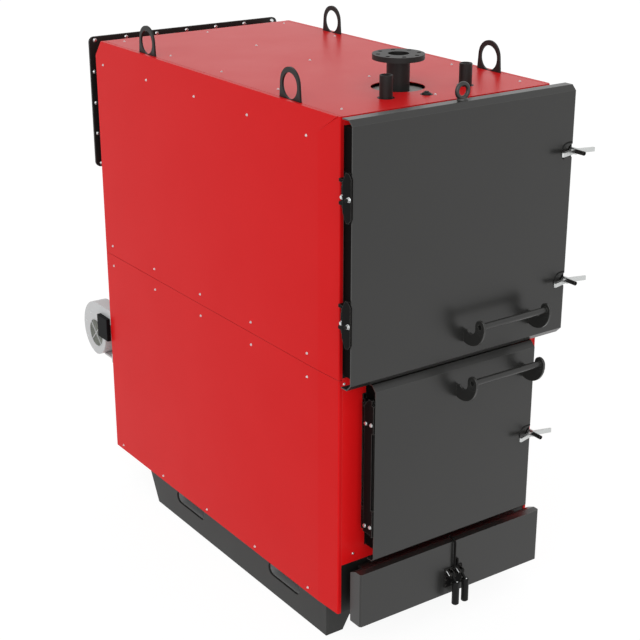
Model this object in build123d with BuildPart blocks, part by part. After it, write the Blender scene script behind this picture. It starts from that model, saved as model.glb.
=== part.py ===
from build123d import *
import os

# Industrial solid-fuel boiler on a skid base.
# Millimetres. X to the right, Y to the rear, Z up. The floor is at Z = 0.
# The origin is the middle of the casing's plan, on the floor.

# Casing
casing_width = 1000.0
casing_depth = 1870.0
casing_height = 2000.0
base_height = 158.0
sheet = 2.5
side_x = casing_width / 2
front_y = -casing_depth / 2
rear_y = casing_depth / 2
casing_low = base_height
casing_high = base_height + casing_height
seam_share = 0.5025
seam_z = casing_low + seam_share * casing_height
seam_gap = 2.0
seam_lip = 18.0
edge_flange = 22.0
front_strip = 128.0
front_strip_bend = 6.0
fold_r = 5.0
top_flange = 17.0
roof_edge_gap = 2.0
roof_edge_x = side_x - top_flange - roof_edge_gap
roof_lip = 32.0
corner_cut_y = 58.0
corner_cut_z = 69.6
corner_flat_y = 12.0
corner_flat_z = 75.0
roof_rear_y = rear_y - corner_cut_y - roof_edge_gap
panel_edge_x = side_x - edge_flange - 0.5

# Pressure body inside the casing
insulation = 60.0
water_wall = 70.0
front_plate_t = 10.0
roof_space = 40.0
floor_t = 10.0
body_x = side_x - insulation
inner_x = body_x - water_wall
body_floor_x = side_x - 20.0
plate_y = front_y + sheet
body_front = plate_y + front_plate_t
body_rear = rear_y - 2 * sheet
inner_rear = body_rear - water_wall
body_low = casing_low + floor_t
body_high = casing_high - roof_space
body_chamfer_y = 31.7
body_chamfer_z = 38.0

# Skid base
base_plate_t = 10.0
base_inner = body_floor_x - base_plate_t
base_front_y = front_y + 99.0
base_rear_low = rear_y - 376.0
base_rear_high = rear_y - 296.0
base_rear_knee = 136.0
base_end_high = 104.0
base_end_inset = 14.0
base_foot = 72.0
base_foot_slope = 34.0
base_gap_high = 70.0
base_gap_knee = 59.0
base_post = 65.0
slot_width = 60.0
slot_top_gap = 14.0
slot_z = base_height - slot_top_gap - slot_width / 2
front_slot_length = 238.0
front_slot_y = base_front_y + 309.0
rear_slot_length = 250.0
rear_slot_y = base_rear_low - 307.0
sleeve_t = 5.0
sleeve_depth = 100.0
channel_width = 80.0
channel_t = 8.0

# Doors: outer covers
door_sheet = 4.0
door_gap = 8.0
seal_gap = 6.0
core_rear = front_y - seal_gap
core_bevel = 20.0
upper_face = front_y - 112.0
upper_rear = upper_face + 60.0
upper_x = side_x + 22.0
upper_low = seam_z - 2.0
upper_high = casing_high + 10.0
upper_bevel_low = 25.0
upper_bevel_high = 20.0
upper_core_x = side_x - 24.0
upper_core_low = upper_low + 22.0
upper_core_high = upper_high - 45.0
lower_face = front_y - 106.0
lower_rear = lower_face + 40.0
lower_x = side_x - 98.0
lower_free_x = lower_x - 12.0
lower_high = upper_low - door_gap
lower_bevel_low = 12.0
lower_bevel_high = 22.0
lower_core_x = lower_x - 39.0

# Ash drawer
drawer_face = front_y - 110.0
drawer_rear = front_y - 43.0
drawer_x = side_x - 35.0
drawer_low = casing_low - 15.0
drawer_height = 234.0
drawer_high = drawer_low + drawer_height
drawer_sheet = 3.0
drawer_fall_y = 35.0
drawer_fall_z = 16.0
drawer_corner = 7.0
drawer_core_x = drawer_x - 65.0
drawer_core_inset = 24.0
tray_x = inner_x - 40.0
tray_t = 4.0
tray_low = body_low + 16.0
tray_high = tray_low + 156.0
tray_rear = inner_rear - 160.0
runner_x = tray_x - 60.0
runner_width = 40.0
runner_gap = 0.3
lower_low = drawer_high + 35.0
lower_core_low = lower_low + 22.0
lower_core_high = lower_high - 22.0

# Fire side
grate_low = tray_high + 70.0
grate_t = 34.0
grate_rows = 3
grate_slots = 16
grate_slot = 18.0
grate_web = 40.0
uptake = 205.0
crown_t = 70.0
crown_low = seam_z - 18.0
mouth_rim = 20.0
upper_mouth_x = inner_x - mouth_rim
upper_mouth_low = crown_low + crown_t + mouth_rim
upper_mouth_high = body_high - water_wall - mouth_rim
fire_mouth_x = lower_core_x - 63.0
fire_mouth_low = lower_core_low + 46.0
fire_mouth_high = lower_core_high - 31.0
ash_mouth_x = tray_x + 15.0
ash_mouth_low = tray_low - 8.0
ash_mouth_high = tray_high + 8.0
smoke_deck_t = 70.0
smoke_deck_low = (upper_mouth_low + upper_mouth_high - smoke_deck_t) / 2
front_turn = 147.5
gas_outlet_x = inner_x - 70.0
gas_outlet_low = smoke_deck_low + smoke_deck_t + mouth_rim
gas_outlet_high = upper_mouth_high - mouth_rim

# Front panel and front plate
front_plate_x = side_x - front_strip_bend - 2 * sheet
front_plate_high = casing_high - 8.0
front_panel_low = drawer_high - 4.0
front_panel_high = upper_low + 8.0
window_x = lower_core_x + 5.0
window_low = lower_low + 18.0
window_high = lower_high - 8.0

# Hinges: pins of 16 mm in pairs of arms, knuckles with running clearance
pin_r = 8.0
running_fit = 0.05
knuckle_r = 14.0
knuckle_half = 35.0
arm_t = 12.0
arm_gap = 1.0
arm_low = knuckle_half + arm_gap
pin_end = 3.0
bracket_end = 20.0
web_t = 10.0
web_lap = 2.0
rib_t = 8.0
rib_z = 26.0
rib_front = 7.0
rib_depth = 28.0
upper_axis_x = -side_x - 5.0
upper_axis_y = front_y - 50.0
upper_hinge_z = (upper_low + 261.0, upper_high - 275.0)
upper_arm_x = (-side_x + 1.0, -side_x + edge_flange - 3.5)
upper_strip_x = (-side_x + edge_flange + 0.5, -side_x + edge_flange + 12.0)
upper_strip_front = front_y - 1.0
octagon_t = 9.0
octagon_front = upper_face - 6.0
octagon_rear = octagon_front + 51.0
octagon_half = 90.5
octagon_cut = 15.0
octagon_cut_z = 17.0
octagon_back = 18.0
octagon_back_z = 36.0
octagon_stud_r = 6.0
octagon_stud_y = octagon_front + 17.0
octagon_stud_drop = 4.0
octagon_stud_reach = 12.0
lower_axis_x = -lower_x + 12.0
lower_axis_y = front_y - 34.0
lower_hinge_z = (lower_low + 169.0, lower_high - 135.0)
lower_bracket_x = (lower_axis_x + 5.0, lower_axis_x + 21.0)
strip_t = 10.0
strip_front = lower_face + 9.0
strip_rear = lower_face + 56.0
strip_tab = 57.0
strip_low = lower_low + 118.0
strip_high = lower_high - 58.0
strip_cut_y = 27.0
strip_cut_z = 32.0

# Handles: two J plates with a tube through their horns
handle_reach = 96.0
handle_tube_r = 12.5
handle_bore_r = 10.0
handle_plate_t = 9.0
handle_drop = 90.0
handle_foot = 12.0
horn_half = 20.0
horn_top = 22.0
hand_notch = 44.0
notch_drop = 26.0
heel_y = 34.0
upper_handle_z = upper_low + 167.0
upper_handle_x = 20.0
upper_handle_span = 319.0
lower_handle_z = lower_high - 50.0
lower_handle_x = -8.0
lower_handle_span = 344.0

# Wing nuts on the free edges of the doors
notch_r = 26.0
saddle_r = 10.0
saddle_t = 10.0
stud_r = 8.0
stud_reach = 65.0
bridge_t = 12.0
nut_gap = 0.5
hub_r = 13.0
hub_length = 26.0
wing_span = 86.0
wing_sweep = 24.0
wing_root = 16.0
wing_tip = 11.0
wing_height = 16.0
upper_nut_z = (upper_low + 231.0, upper_high - 252.0)
lower_nut_z = (lower_low + 344.0,)

# Eye bolt on the upper door
eye_y = upper_face + 44.0
eye_collar_r = 20.0
eye_collar_t = 8.0
eye_ring_r = 28.0
eye_wire_r = 8.0
eye_edge = 4.5
eye_rise = 37.0

# Toggle clamps on the drawer
lever_x = (-22.0, 27.0)
lever_axis_y = drawer_face - 21.0
lever_axis_z = drawer_low + 100.0
toggle_plate_t = 5.0
toggle_margin = 20.0
toggle_low = 67.0
toggle_high = 19.0
ear_t = 4.0
ear_gap = 14.0
ear_r = 9.0
ear_root = 16.0
toggle_pin_r = 4.0
rod_r = 5.0
rod_low = lever_axis_z + 13.0
short_rod_x = 20.0
short_rod_length = 39.0
hook_x = 1.0
hook_y = drawer_face - 9.0
hook_bend_z = drawer_high - 1.0
hook_rise = 12.0
hook_reach = 34.0
hook_bend_r = 10.0
lever_t = 8.0
lever_eye_r = 8.0
lever_drop = 26.0
lever_lean = 28.0
grip_r = 15.0
grip_length = 103.0
grip_chamfer = 4.0

# Smoke box at the rear
neck_x = side_x - 30.0
neck_height = 488.0
neck_high = casing_high - 80.0
neck_low = neck_high - neck_height
neck_t = 8.0
neck_r = 20.0
neck_gap = 3.0
neck_z = (neck_low + neck_high) / 2
flange_y = rear_y + 53.0
flange_t = 10.0
flange_x = side_x + 2.0
flange_high = casing_high + 2.0
flange_height = 599.0
flange_low = flange_high - flange_height
flange_r = 25.0
flange_z = (flange_low + flange_high) / 2
cover_y = flange_y + flange_t
cover_t = 8.0
cover_inset = 12.0
flue_r = 150.0
flue_t = 4.0
flue_z = neck_z
flue_end = cover_y + 142.0

# Roof fittings
pipe_x = -17.0
pipe_y = front_y + 291.0
pipe_r = 44.45
pipe_bore_r = 40.5
pipe_rise = 126.0
pipe_top = casing_high + pipe_rise
pipe_collar = 12.0
pipe_collar_t = 8.0
dn80_r = 100.0
dn80_t = 20.0
dn80_pcd = 160.0
dn80_holes = 8
dn80_hole_r = 9.0
roof_hole_r = 103.5
socket_r = 25.0
socket_bore_r = 19.0
socket_chamfer = 1.5
socket_rise = 85.0
socket_left = (-176.0, front_y + 157.0)
socket_right = (210.0, front_y + 166.0)
pocket = (-15.0, front_y + 120.0)
pocket_r = 17.5
pocket_rise = 8.0
pocket_chamfer = 5.0
roof_clearance = 4.0

# Lifting rails with their lugs
rail_x = side_x - 27.0
rail_t = 8.0
rail_foot_x = body_x - 40.0
rail_foot_t = 6.0
rail_ledge = 24.0
rail_rear = roof_rear_y - 5.0
rail_ledge_rear = roof_rear_y - 20.0
lug_y = (front_y + 335.0, rear_y - 450.0)
lug_r = 62.5
lug_top = casing_high + 119.0
lug_foot = 135.0
lug_foot_high = 30.0
lug_hole_r = 49.0
lug_hole_rise = 50.0
lug_notch_gap = 5.0

# Return pipe on the rear wall
return_x = 250.0
return_z = casing_low + 272.0
return_end = rear_y + 120.0

# Combustion fan behind the left rear corner
fan_y = rear_y + 165.0
fan_z = casing_low + 542.0
fan_depth = 70.0
fan_sheet = 3.0
fan_x0 = -side_x
fan_x1 = fan_x0 + fan_depth
fan_r = 125.0
fan_throat = 98.0
fan_crown = 162.0
duct_high = fan_z + fan_crown
duct_low = duct_high - 72.0
fan_inlet_r = 70.0
wheel_r = 88.0
wheel_back = 18.0
wheel_plate_t = 4.0
wheel_depth = 37.0
wheel_hub_r = 20.0
blade_r = 58.0
blade_length = 56.0
blade_t = 3.0
blade_turn = 20.0
fan_shaft_r = 8.0
fan_shaft = 48.0
shaft_hole_r = 14.0
motor_r = 55.0
motor_length = 95.0
motor_chamfer = 8.0
foot_low = fan_z - 104.0
foot_high = fan_z - 60.0
foot_t = 8.0
foot_reach = 125.0
box_t = 20.0
box_low = fan_z + 8.0
box_high = fan_z + 121.0
box_y0 = rear_y + 6.0
box_y1 = fan_y - 60.0

os.makedirs("parts", exist_ok=True)


def block(x0, x1, y0, y1, z0, z1, mode=Mode.ADD):
    """Adds or cuts a straight block between two corners of the open part."""
    with BuildSketch(Plane.XY.offset(z0)) as plan:
        with Locations(((x0 + x1) / 2, (y0 + y1) / 2)):
            Rectangle(abs(x1 - x0), abs(y1 - y0))
    extrude(plan.sketch, amount=z1 - z0, mode=mode)


def side_profile(points, x0, x1, mode=Mode.ADD):
    """Extrudes a Y-Z outline from x0 to x1 in the open part."""
    with BuildSketch(Plane.YZ.offset(x0)) as outline:
        Polygon(*points, align=None)
    extrude(outline.sketch, amount=x1 - x0, mode=mode)


def x_cylinder(y, z, radius, x0, x1, mode=Mode.ADD):
    """A round bar or bore along X."""
    with BuildSketch(Plane.YZ.offset(x0)) as ring:
        with Locations((y, z)):
            Circle(radius)
    extrude(ring.sketch, amount=x1 - x0, mode=mode)


def y_cylinder(x, z, radius, y0, y1, mode=Mode.ADD):
    """A round bar or bore along Y."""
    with BuildSketch(Plane.XZ.offset(-y0)) as ring:
        with Locations((x, z)):
            Circle(radius)
    extrude(ring.sketch, amount=y0 - y1, mode=mode)


def z_cylinder(x, y, radius, z0, z1, mode=Mode.ADD):
    """A round bar or bore along Z."""
    with BuildSketch(Plane.XY.offset(z0)) as ring:
        with Locations((x, y)):
            Circle(radius)
    extrude(ring.sketch, amount=z1 - z0, mode=mode)


def save(part, name):
    """Labels a finished piece and writes it to its own file."""
    part.label = name
    export_step(part, "parts/" + name + ".step")


# Skid base: side plates with two sleeved slots and a slanted rear end
for side, hand in ((-1, "left"), (1, "right")):
    with BuildPart() as base_side:
        with BuildSketch(Plane.YZ.offset(side * body_floor_x)):
            Polygon(
                (base_front_y, 0),
                (base_rear_low, 0),
                (base_rear_low + 69, base_rear_knee),
                (base_rear_high, base_height),
                (base_front_y, base_height),
                align=None,
            )
            with Locations((front_slot_y, slot_z)):
                SlotOverall(front_slot_length, slot_width, mode=Mode.SUBTRACT)
            with Locations((rear_slot_y, slot_z)):
                SlotOverall(rear_slot_length, slot_width, mode=Mode.SUBTRACT)
        extrude(amount=-side * base_plate_t)
        for centre, length in ((front_slot_y, front_slot_length), (rear_slot_y, rear_slot_length)):
            with BuildSketch(Plane.YZ.offset(side * base_inner)) as sleeve:
                with Locations((centre, slot_z)):
                    SlotOverall(length + 2 * sleeve_t, slot_width + 2 * sleeve_t)
                    SlotOverall(length, slot_width, mode=Mode.SUBTRACT)
            extrude(sleeve.sketch, amount=-side * sleeve_depth)
    save(base_side.part, "base_side_" + hand)

# Skid base: front and rear plates with a trapezoid cut-out, and full-height posts at the front
gap_low_x = base_inner - base_foot
gap_high_x = gap_low_x - base_foot_slope
for plate_front, end in ((base_front_y, "front"), (base_rear_low - base_end_inset, "rear")):
    with BuildPart() as base_end:
        plate_rear = plate_front + base_plate_t
        block(-base_inner, base_inner, plate_front, plate_rear, 0, base_end_high)
        if end == "front":
            for post in (-base_inner, base_inner - base_post):
                block(post, post + base_post, plate_front, plate_rear, 0, base_height)
        with BuildSketch(Plane.XZ.offset(-plate_front)):
            Polygon(
                (-gap_low_x, 0),
                (gap_low_x, 0),
                (gap_high_x, base_gap_knee),
                (gap_high_x - base_foot_slope / 2, base_gap_high),
                (-gap_high_x + base_foot_slope / 2, base_gap_high),
                (-gap_high_x, base_gap_knee),
                align=None,
            )
        extrude(amount=-base_plate_t, mode=Mode.SUBTRACT)
    save(base_end.part, "base_" + end)

# Skid base: channel across the middle, its web on the floor
half_channel = channel_width / 2
with BuildPart() as base_cross:
    block(-base_inner, base_inner, -half_channel, half_channel, 0, channel_t)
    block(-base_inner, base_inner, -half_channel, channel_t - half_channel, 0, base_height)
    block(-base_inner, base_inner, half_channel - channel_t, half_channel, 0, base_height)
save(base_cross.part, "base_cross")

# Pressure body, with two runners for the ash tray on its floor
half_runner = runner_width / 2
with BuildPart() as body_floor:
    block(-body_floor_x, body_floor_x, body_front, body_rear, casing_low, body_low)
    for centre in (-runner_x, runner_x):
        block(
            centre - half_runner,
            centre + half_runner,
            body_front,
            inner_rear,
            body_low,
            tray_low - runner_gap,
        )
save(body_floor.part, "body_floor")

for side, hand in ((-1, "left"), (1, "right")):
    with BuildPart() as side_wall:
        side_profile(
            (
                (body_front, body_low),
                (body_rear, body_low),
                (body_rear, body_high - body_chamfer_z),
                (body_rear - body_chamfer_y, body_high),
                (body_front, body_high),
            ),
            side * inner_x,
            side * body_x,
        )
    save(side_wall.part, "water_wall_" + hand)

with BuildPart() as rear_wall:
    side_profile(
        (
            (inner_rear, body_low),
            (body_rear, body_low),
            (body_rear, body_high - body_chamfer_z),
            (body_rear - body_chamfer_y, body_high),
            (inner_rear, body_high),
        ),
        -inner_x,
        inner_x,
    )
    block(
        -gas_outlet_x,
        gas_outlet_x,
        inner_rear,
        body_rear,
        gas_outlet_low,
        gas_outlet_high,
        mode=Mode.SUBTRACT,
    )
save(rear_wall.part, "water_wall_rear")

with BuildPart() as top_deck:
    block(-inner_x, inner_x, body_front, inner_rear, body_high - water_wall, body_high)
save(top_deck.part, "water_deck_top")

with BuildPart() as smoke_deck:
    block(
        -inner_x,
        inner_x,
        body_front + front_turn,
        inner_rear,
        smoke_deck_low,
        smoke_deck_low + smoke_deck_t,
    )
save(smoke_deck.part, "smoke_deck")

fire_rear = inner_rear - uptake
with BuildPart() as crown:
    block(-inner_x, inner_x, body_front, fire_rear, crown_low, crown_low + crown_t)
save(crown.part, "firebox_crown")

# Grate: cast firebars with long slots between them
grate_row = (fire_rear - body_front) / grate_rows
with BuildPart() as grate:
    block(-inner_x, inner_x, body_front, fire_rear, grate_low, grate_low + grate_t)
    with BuildSketch(Plane.XY.offset(grate_low)):
        with Locations((0, (body_front + fire_rear) / 2)):
            with GridLocations(2 * inner_x / (grate_slots + 1), grate_row, grate_slots, grate_rows):
                Rectangle(grate_slot, grate_row - grate_web)
    extrude(amount=grate_t, mode=Mode.SUBTRACT)
save(grate.part, "grate")

# Front plates of the body: the lower one has the mouths of the firebox and the ash chamber
with BuildPart() as lower_plate:
    block(-front_plate_x, front_plate_x, plate_y, body_front, casing_low, seam_z)
    for half_x, low, high in (
        (fire_mouth_x, fire_mouth_low, fire_mouth_high),
        (ash_mouth_x, ash_mouth_low, ash_mouth_high),
    ):
        block(-half_x, half_x, plate_y, body_front, low, high, mode=Mode.SUBTRACT)
save(lower_plate.part, "front_plate_lower")

# The upper front plate has the mouth of the smoke passes
with BuildPart() as upper_plate:
    block(-front_plate_x, front_plate_x, plate_y, body_front, seam_z, front_plate_high)
    block(
        -upper_mouth_x,
        upper_mouth_x,
        plate_y,
        body_front,
        upper_mouth_low,
        upper_mouth_high,
        mode=Mode.SUBTRACT,
    )
save(upper_plate.part, "front_plate_upper")

# Red front panel round the lower door
with BuildPart() as front_panel:
    block(-panel_edge_x, panel_edge_x, front_y, plate_y, front_panel_low, front_panel_high)
    block(-window_x, window_x, front_y, plate_y, window_low, window_high, mode=Mode.SUBTRACT)
save(front_panel.part, "front_panel")

# Side panels: folded sheet pans, two on each side
slope_x = sheet * 1.3
slope_z = sheet * 1.56
for side, hand in ((-1, "left"), (1, "right")):
    outer_x = side * side_x
    bend_x = side * (side_x - front_strip_bend)
    lip_x = side * (side_x - edge_flange)
    seam_x = side * (side_x - seam_lip)
    top_x = side * (side_x - top_flange)
    skin = side * sheet
    fold_y = front_y + front_strip
    for low, high, level in (
        (casing_low, seam_z - seam_gap / 2, "lower"),
        (seam_z + seam_gap / 2, casing_high, "upper"),
    ):
        with BuildPart() as side_panel:
            with BuildSketch(Plane.XY.offset(low)) as plan:
                Polygon(
                    (lip_x, rear_y),
                    (outer_x, rear_y),
                    (outer_x, fold_y),
                    (bend_x, front_y),
                    (lip_x, front_y),
                    (lip_x, plate_y),
                    (bend_x - skin, plate_y),
                    (outer_x - skin, fold_y),
                    (outer_x - skin, rear_y - sheet),
                    (lip_x, rear_y - sheet),
                    align=None,
                )
                fillet(plan.vertices().sort_by_distance((bend_x, front_y, 0))[0], fold_r)
            extrude(amount=high - low)
            if level == "lower":
                block(seam_x, outer_x, fold_y, rear_y, high - sheet, high)
            else:
                block(seam_x, outer_x, fold_y, rear_y, low, low + sheet)
                block(top_x, outer_x, fold_y, rear_y, high - sheet, high)
                with BuildSketch(Plane.XY.offset(high - sheet)):
                    Polygon(
                        (outer_x, fold_y),
                        (bend_x, front_y + fold_r),
                        (top_x, front_y + fold_r),
                        (top_x, fold_y),
                        align=None,
                    )
                extrude(amount=sheet)
                side_profile(
                    (
                        (fold_y, high - corner_flat_z),
                        (front_y + corner_flat_y, high),
                        (fold_y, high),
                    ),
                    bend_x - skin,
                    outer_x,
                )
                side_profile(
                    (
                        (rear_y - corner_cut_y, high),
                        (rear_y + 1, high - corner_cut_z - 1.2),
                        (rear_y + 1, high + 1),
                        (rear_y - corner_cut_y, high + 1),
                    ),
                    lip_x,
                    outer_x,
                    mode=Mode.SUBTRACT,
                )
                side_profile(
                    (
                        (rear_y - corner_cut_y, high),
                        (rear_y, high - corner_cut_z),
                        (rear_y, high - corner_cut_z - slope_z),
                        (rear_y - corner_cut_y - slope_x, high),
                    ),
                    top_x,
                    outer_x,
                )
        save(side_panel.part, "side_panel_" + hand + "_" + level)

# Roof panel with the front lip, holes for the fittings and notches for the lugs
with BuildPart() as roof:
    block(-roof_edge_x, roof_edge_x, plate_y, roof_rear_y, casing_high - sheet, casing_high)
    block(-panel_edge_x, panel_edge_x, front_y, plate_y, casing_high - roof_lip, casing_high)
    with BuildSketch(Plane.XY.offset(casing_high - sheet)):
        with Locations((pipe_x, pipe_y)):
            Circle(roof_hole_r)
        with Locations(socket_left, socket_right):
            Circle(socket_r + roof_clearance)
        with Locations(pocket):
            Circle(pocket_r + roof_clearance)
        for lug_centre in lug_y:
            with Locations((-roof_edge_x, lug_centre), (roof_edge_x, lug_centre)):
                Rectangle(2 * (roof_edge_x - rail_x + roof_edge_gap), lug_foot + 2 * lug_notch_gap)
    extrude(amount=sheet, mode=Mode.SUBTRACT)
save(roof.part, "roof_panel")

# Rear panels: a flat lower sheet, and an upper strip with a sloping top edge
with BuildPart() as rear_lower:
    block(-roof_edge_x, roof_edge_x, body_rear, body_rear + sheet, casing_low, neck_low - neck_gap)
    pipe_hole_r = pipe_r + roof_clearance
    y_cylinder(return_x, return_z, pipe_hole_r, body_rear, body_rear + sheet, mode=Mode.SUBTRACT)
save(rear_lower.part, "rear_panel_lower")

with BuildPart() as rear_upper:
    side_profile(
        (
            (body_rear, neck_high + neck_gap),
            (body_rear + sheet, neck_high + neck_gap),
            (body_rear + sheet, casing_high - corner_cut_z + 1.2),
            (rear_y - corner_cut_y + roof_edge_gap, casing_high - roof_edge_gap),
            (rear_y - corner_cut_y, casing_high - roof_edge_gap - 2),
            (body_rear, casing_high - corner_cut_z - 0.3),
        ),
        -roof_edge_x,
        roof_edge_x,
    )
save(rear_upper.part, "rear_panel_upper")

# Lifting rails under the roof edges, each with two lugs
rail_high = casing_high - sheet
for side, hand in ((-1, "left"), (1, "right")):
    with BuildPart() as rail:
        side_profile(
            (
                (body_front, body_high),
                (rail_rear, body_high),
                (rail_rear, rail_high - 4),
                (rail_rear - 25, rail_high),
                (body_front, rail_high),
            ),
            side * rail_x,
            side * (rail_x + rail_t),
        )
        block(side * rail_x, side * rail_foot_x, body_front, rail_rear, body_high, body_high + rail_foot_t)
        block(
            side * rail_x,
            side * (rail_x - rail_ledge),
            body_front,
            rail_ledge_rear,
            rail_high - rail_foot_t,
            rail_high,
        )
        for lug_centre in lug_y:
            with BuildSketch(Plane.YZ.offset(side * rail_x)):
                with Locations((lug_centre, lug_top - lug_r)):
                    Circle(lug_r)
                with Locations((lug_centre, casing_high - lug_foot_high / 2)):
                    Rectangle(lug_foot, lug_foot_high)
                make_hull()
                with Locations((lug_centre, casing_high + lug_hole_rise)):
                    Circle(lug_hole_r, mode=Mode.SUBTRACT)
            extrude(amount=side * rail_t)
    save(rail.part, "lifting_rail_" + hand)

# Smoke box: neck with the bolting flange
with BuildPart() as smoke_box:
    with BuildSketch(Plane.XZ.offset(-body_rear)):
        with Locations((0, neck_z)):
            RectangleRounded(2 * neck_x, neck_height, neck_r)
    extrude(amount=body_rear - flange_y)
    with BuildSketch(Plane.XZ.offset(-flange_y)):
        with Locations((0, flange_z)):
            RectangleRounded(2 * flange_x, flange_height, flange_r)
    extrude(amount=-flange_t)
    with BuildSketch(Plane.XZ.offset(-body_rear)):
        with Locations((0, neck_z)):
            RectangleRounded(2 * (neck_x - neck_t), neck_height - 2 * neck_t, neck_r - neck_t)
    extrude(amount=body_rear - cover_y, mode=Mode.SUBTRACT)
save(smoke_box.part, "smoke_box")

# Smoke box cover with a round hole, and the flue spigot welded over it
with BuildPart() as smoke_cover:
    with BuildSketch(Plane.XZ.offset(-cover_y)):
        with Locations((0, flange_z)):
            RectangleRounded(
                2 * (flange_x - cover_inset), flange_height - 2 * cover_inset, flange_r - neck_t
            )
        with Locations((0, flue_z)):
            Circle(flue_r - flue_t, mode=Mode.SUBTRACT)
    extrude(amount=-cover_t)
save(smoke_cover.part, "smoke_box_cover")

with BuildPart() as spigot:
    y_cylinder(0, flue_z, flue_r, cover_y + cover_t, flue_end)
    y_cylinder(0, flue_z, flue_r - flue_t, cover_y + cover_t, flue_end, mode=Mode.SUBTRACT)
save(spigot.part, "flue_spigot")

# Supply pipe with its flange, standing on the body
with BuildPart() as supply:
    z_cylinder(pipe_x, pipe_y, pipe_r + pipe_collar, body_high, body_high + pipe_collar_t)
    z_cylinder(pipe_x, pipe_y, pipe_r, body_high, pipe_top)
    z_cylinder(pipe_x, pipe_y, dn80_r, pipe_top - dn80_t, pipe_top)
    z_cylinder(pipe_x, pipe_y, pipe_bore_r, body_high, pipe_top, mode=Mode.SUBTRACT)
    with BuildSketch(Plane.XY.offset(pipe_top - dn80_t)):
        with Locations((pipe_x, pipe_y)):
            with PolarLocations(dn80_pcd / 2, dn80_holes, start_angle=180 / dn80_holes):
                Circle(dn80_hole_r)
    extrude(amount=dn80_t, mode=Mode.SUBTRACT)
save(supply.part, "supply_pipe")

# Return pipe with its flange, on the rear wall
with BuildPart() as back_pipe:
    y_cylinder(return_x, return_z, pipe_r, body_rear, return_end)
    y_cylinder(return_x, return_z, dn80_r, return_end - dn80_t, return_end)
    y_cylinder(return_x, return_z, pipe_bore_r, body_rear, return_end, mode=Mode.SUBTRACT)
    with BuildSketch(Plane.XZ.offset(dn80_t - return_end)):
        with Locations((return_x, return_z)):
            with PolarLocations(dn80_pcd / 2, dn80_holes, start_angle=180 / dn80_holes):
                Circle(dn80_hole_r)
    extrude(amount=-dn80_t, mode=Mode.SUBTRACT)
save(back_pipe.part, "return_pipe")

# Threaded sockets on the body, through the roof
for centre, hand in ((socket_left, "left"), (socket_right, "right")):
    with BuildPart() as socket:
        z_cylinder(centre[0], centre[1], socket_r, body_high, casing_high + socket_rise)
        z_cylinder(
            centre[0], centre[1], socket_bore_r, body_high, casing_high + socket_rise, mode=Mode.SUBTRACT
        )
        chamfer(socket.edges().filter_by(GeomType.CIRCLE).group_by(Axis.Z)[-1], socket_chamfer)
    save(socket.part, "socket_" + hand)

# Sensor pocket with a low bevelled cap
with BuildPart() as sensor:
    z_cylinder(pocket[0], pocket[1], pocket_r, body_high, casing_high + pocket_rise)
    chamfer(sensor.edges().filter_by(GeomType.CIRCLE).group_by(Axis.Z)[-1], pocket_chamfer)
save(sensor.part, "sensor_pocket")


def pan_points(face, rear, low, high, bevel_low, bevel_high, inset):
    """Y-Z outline of a door pan, moved inwards by inset."""
    short = inset * (2 - 2 ** 0.5)
    face_in = face + inset
    low_in = low + inset
    high_in = high - inset
    cut_low = bevel_low - short
    cut_high = bevel_high - short
    return (
        (rear, low_in),
        (face_in + cut_low, low_in),
        (face_in, low_in + cut_low),
        (face_in, high_in - cut_high),
        (face_in + cut_high, high_in),
        (rear, high_in),
    )


def door_cover(face, rear, hinge_x, free_x, low, high, bevel_low, bevel_high, notches):
    """Folded sheet cover of a door, open at the sides and the back."""
    with BuildPart() as cover:
        side_profile(pan_points(face, rear, low, high, bevel_low, bevel_high, 0), -hinge_x, free_x)
        side_profile(
            pan_points(face, rear, low, high, bevel_low, bevel_high, door_sheet),
            -hinge_x,
            free_x,
            mode=Mode.SUBTRACT,
        )
        for notch_z in notches:
            y_cylinder(free_x, notch_z, notch_r, face, face + door_sheet, mode=Mode.SUBTRACT)
    return cover.part


def door_core(face, half_x, low, high):
    """Insulated inner pan of a door, from the cover back to the seal gap."""
    with BuildPart() as core:
        block(-half_x, half_x, face + door_sheet, core_rear, low, high)
        chamfer(core.edges().filter_by(Axis.X).group_by(Axis.Y)[0], core_bevel)
    return core.part


def j_handle(face, tube_z, first_x, span):
    """Two J plates with a tube through their horns."""
    tube_y = face - handle_reach
    low = tube_z - handle_drop
    tip = tube_y - horn_half
    inner = tube_y + horn_half
    half = hand_notch / 2
    floor_z = tube_z - notch_drop
    foot = tube_z + handle_foot
    with BuildPart() as handle:
        for plate_x in (first_x, first_x + span):
            with BuildSketch(Plane.YZ.offset(plate_x - handle_plate_t / 2)):
                with BuildLine():
                    Polyline(
                        (face, foot),
                        (face, low),
                        (tip + heel_y, low),
                        (tip, low + heel_y),
                        (tip, tube_z),
                    )
                    ThreePointArc((tip, tube_z), (tube_y, tube_z + horn_top), (inner, tube_z))
                    Line((inner, tube_z), (inner, floor_z))
                    ThreePointArc(
                        (inner, floor_z), (inner + half, floor_z - half), (inner + hand_notch, floor_z)
                    )
                    Line((inner + hand_notch, floor_z), (inner + hand_notch, foot))
                    Line((inner + hand_notch, foot), (face, foot))
                make_face()
            extrude(amount=handle_plate_t)
        x0 = first_x - handle_plate_t / 2
        x1 = first_x + span + handle_plate_t / 2
        x_cylinder(tube_y, tube_z, handle_tube_r, x0, x1)
        x_cylinder(tube_y, tube_z, handle_bore_r, x0, x1, mode=Mode.SUBTRACT)
    return handle.part


def clamp_stud(face, edge_x, core_x, z):
    """Saddle on the door's free edge with the stud that carries a wing nut."""
    front = face + door_sheet
    back = front + saddle_t
    with BuildPart() as stud:
        block(core_x, edge_x, front, back, z - notch_r, z + notch_r)
        y_cylinder(edge_x, z, saddle_r, front, back, mode=Mode.SUBTRACT)
        block(core_x, edge_x, back, back + bridge_t, z - stud_r, z + stud_r)
        y_cylinder(edge_x, z, stud_r, face - stud_reach, back + bridge_t)
    return stud.part


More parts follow.
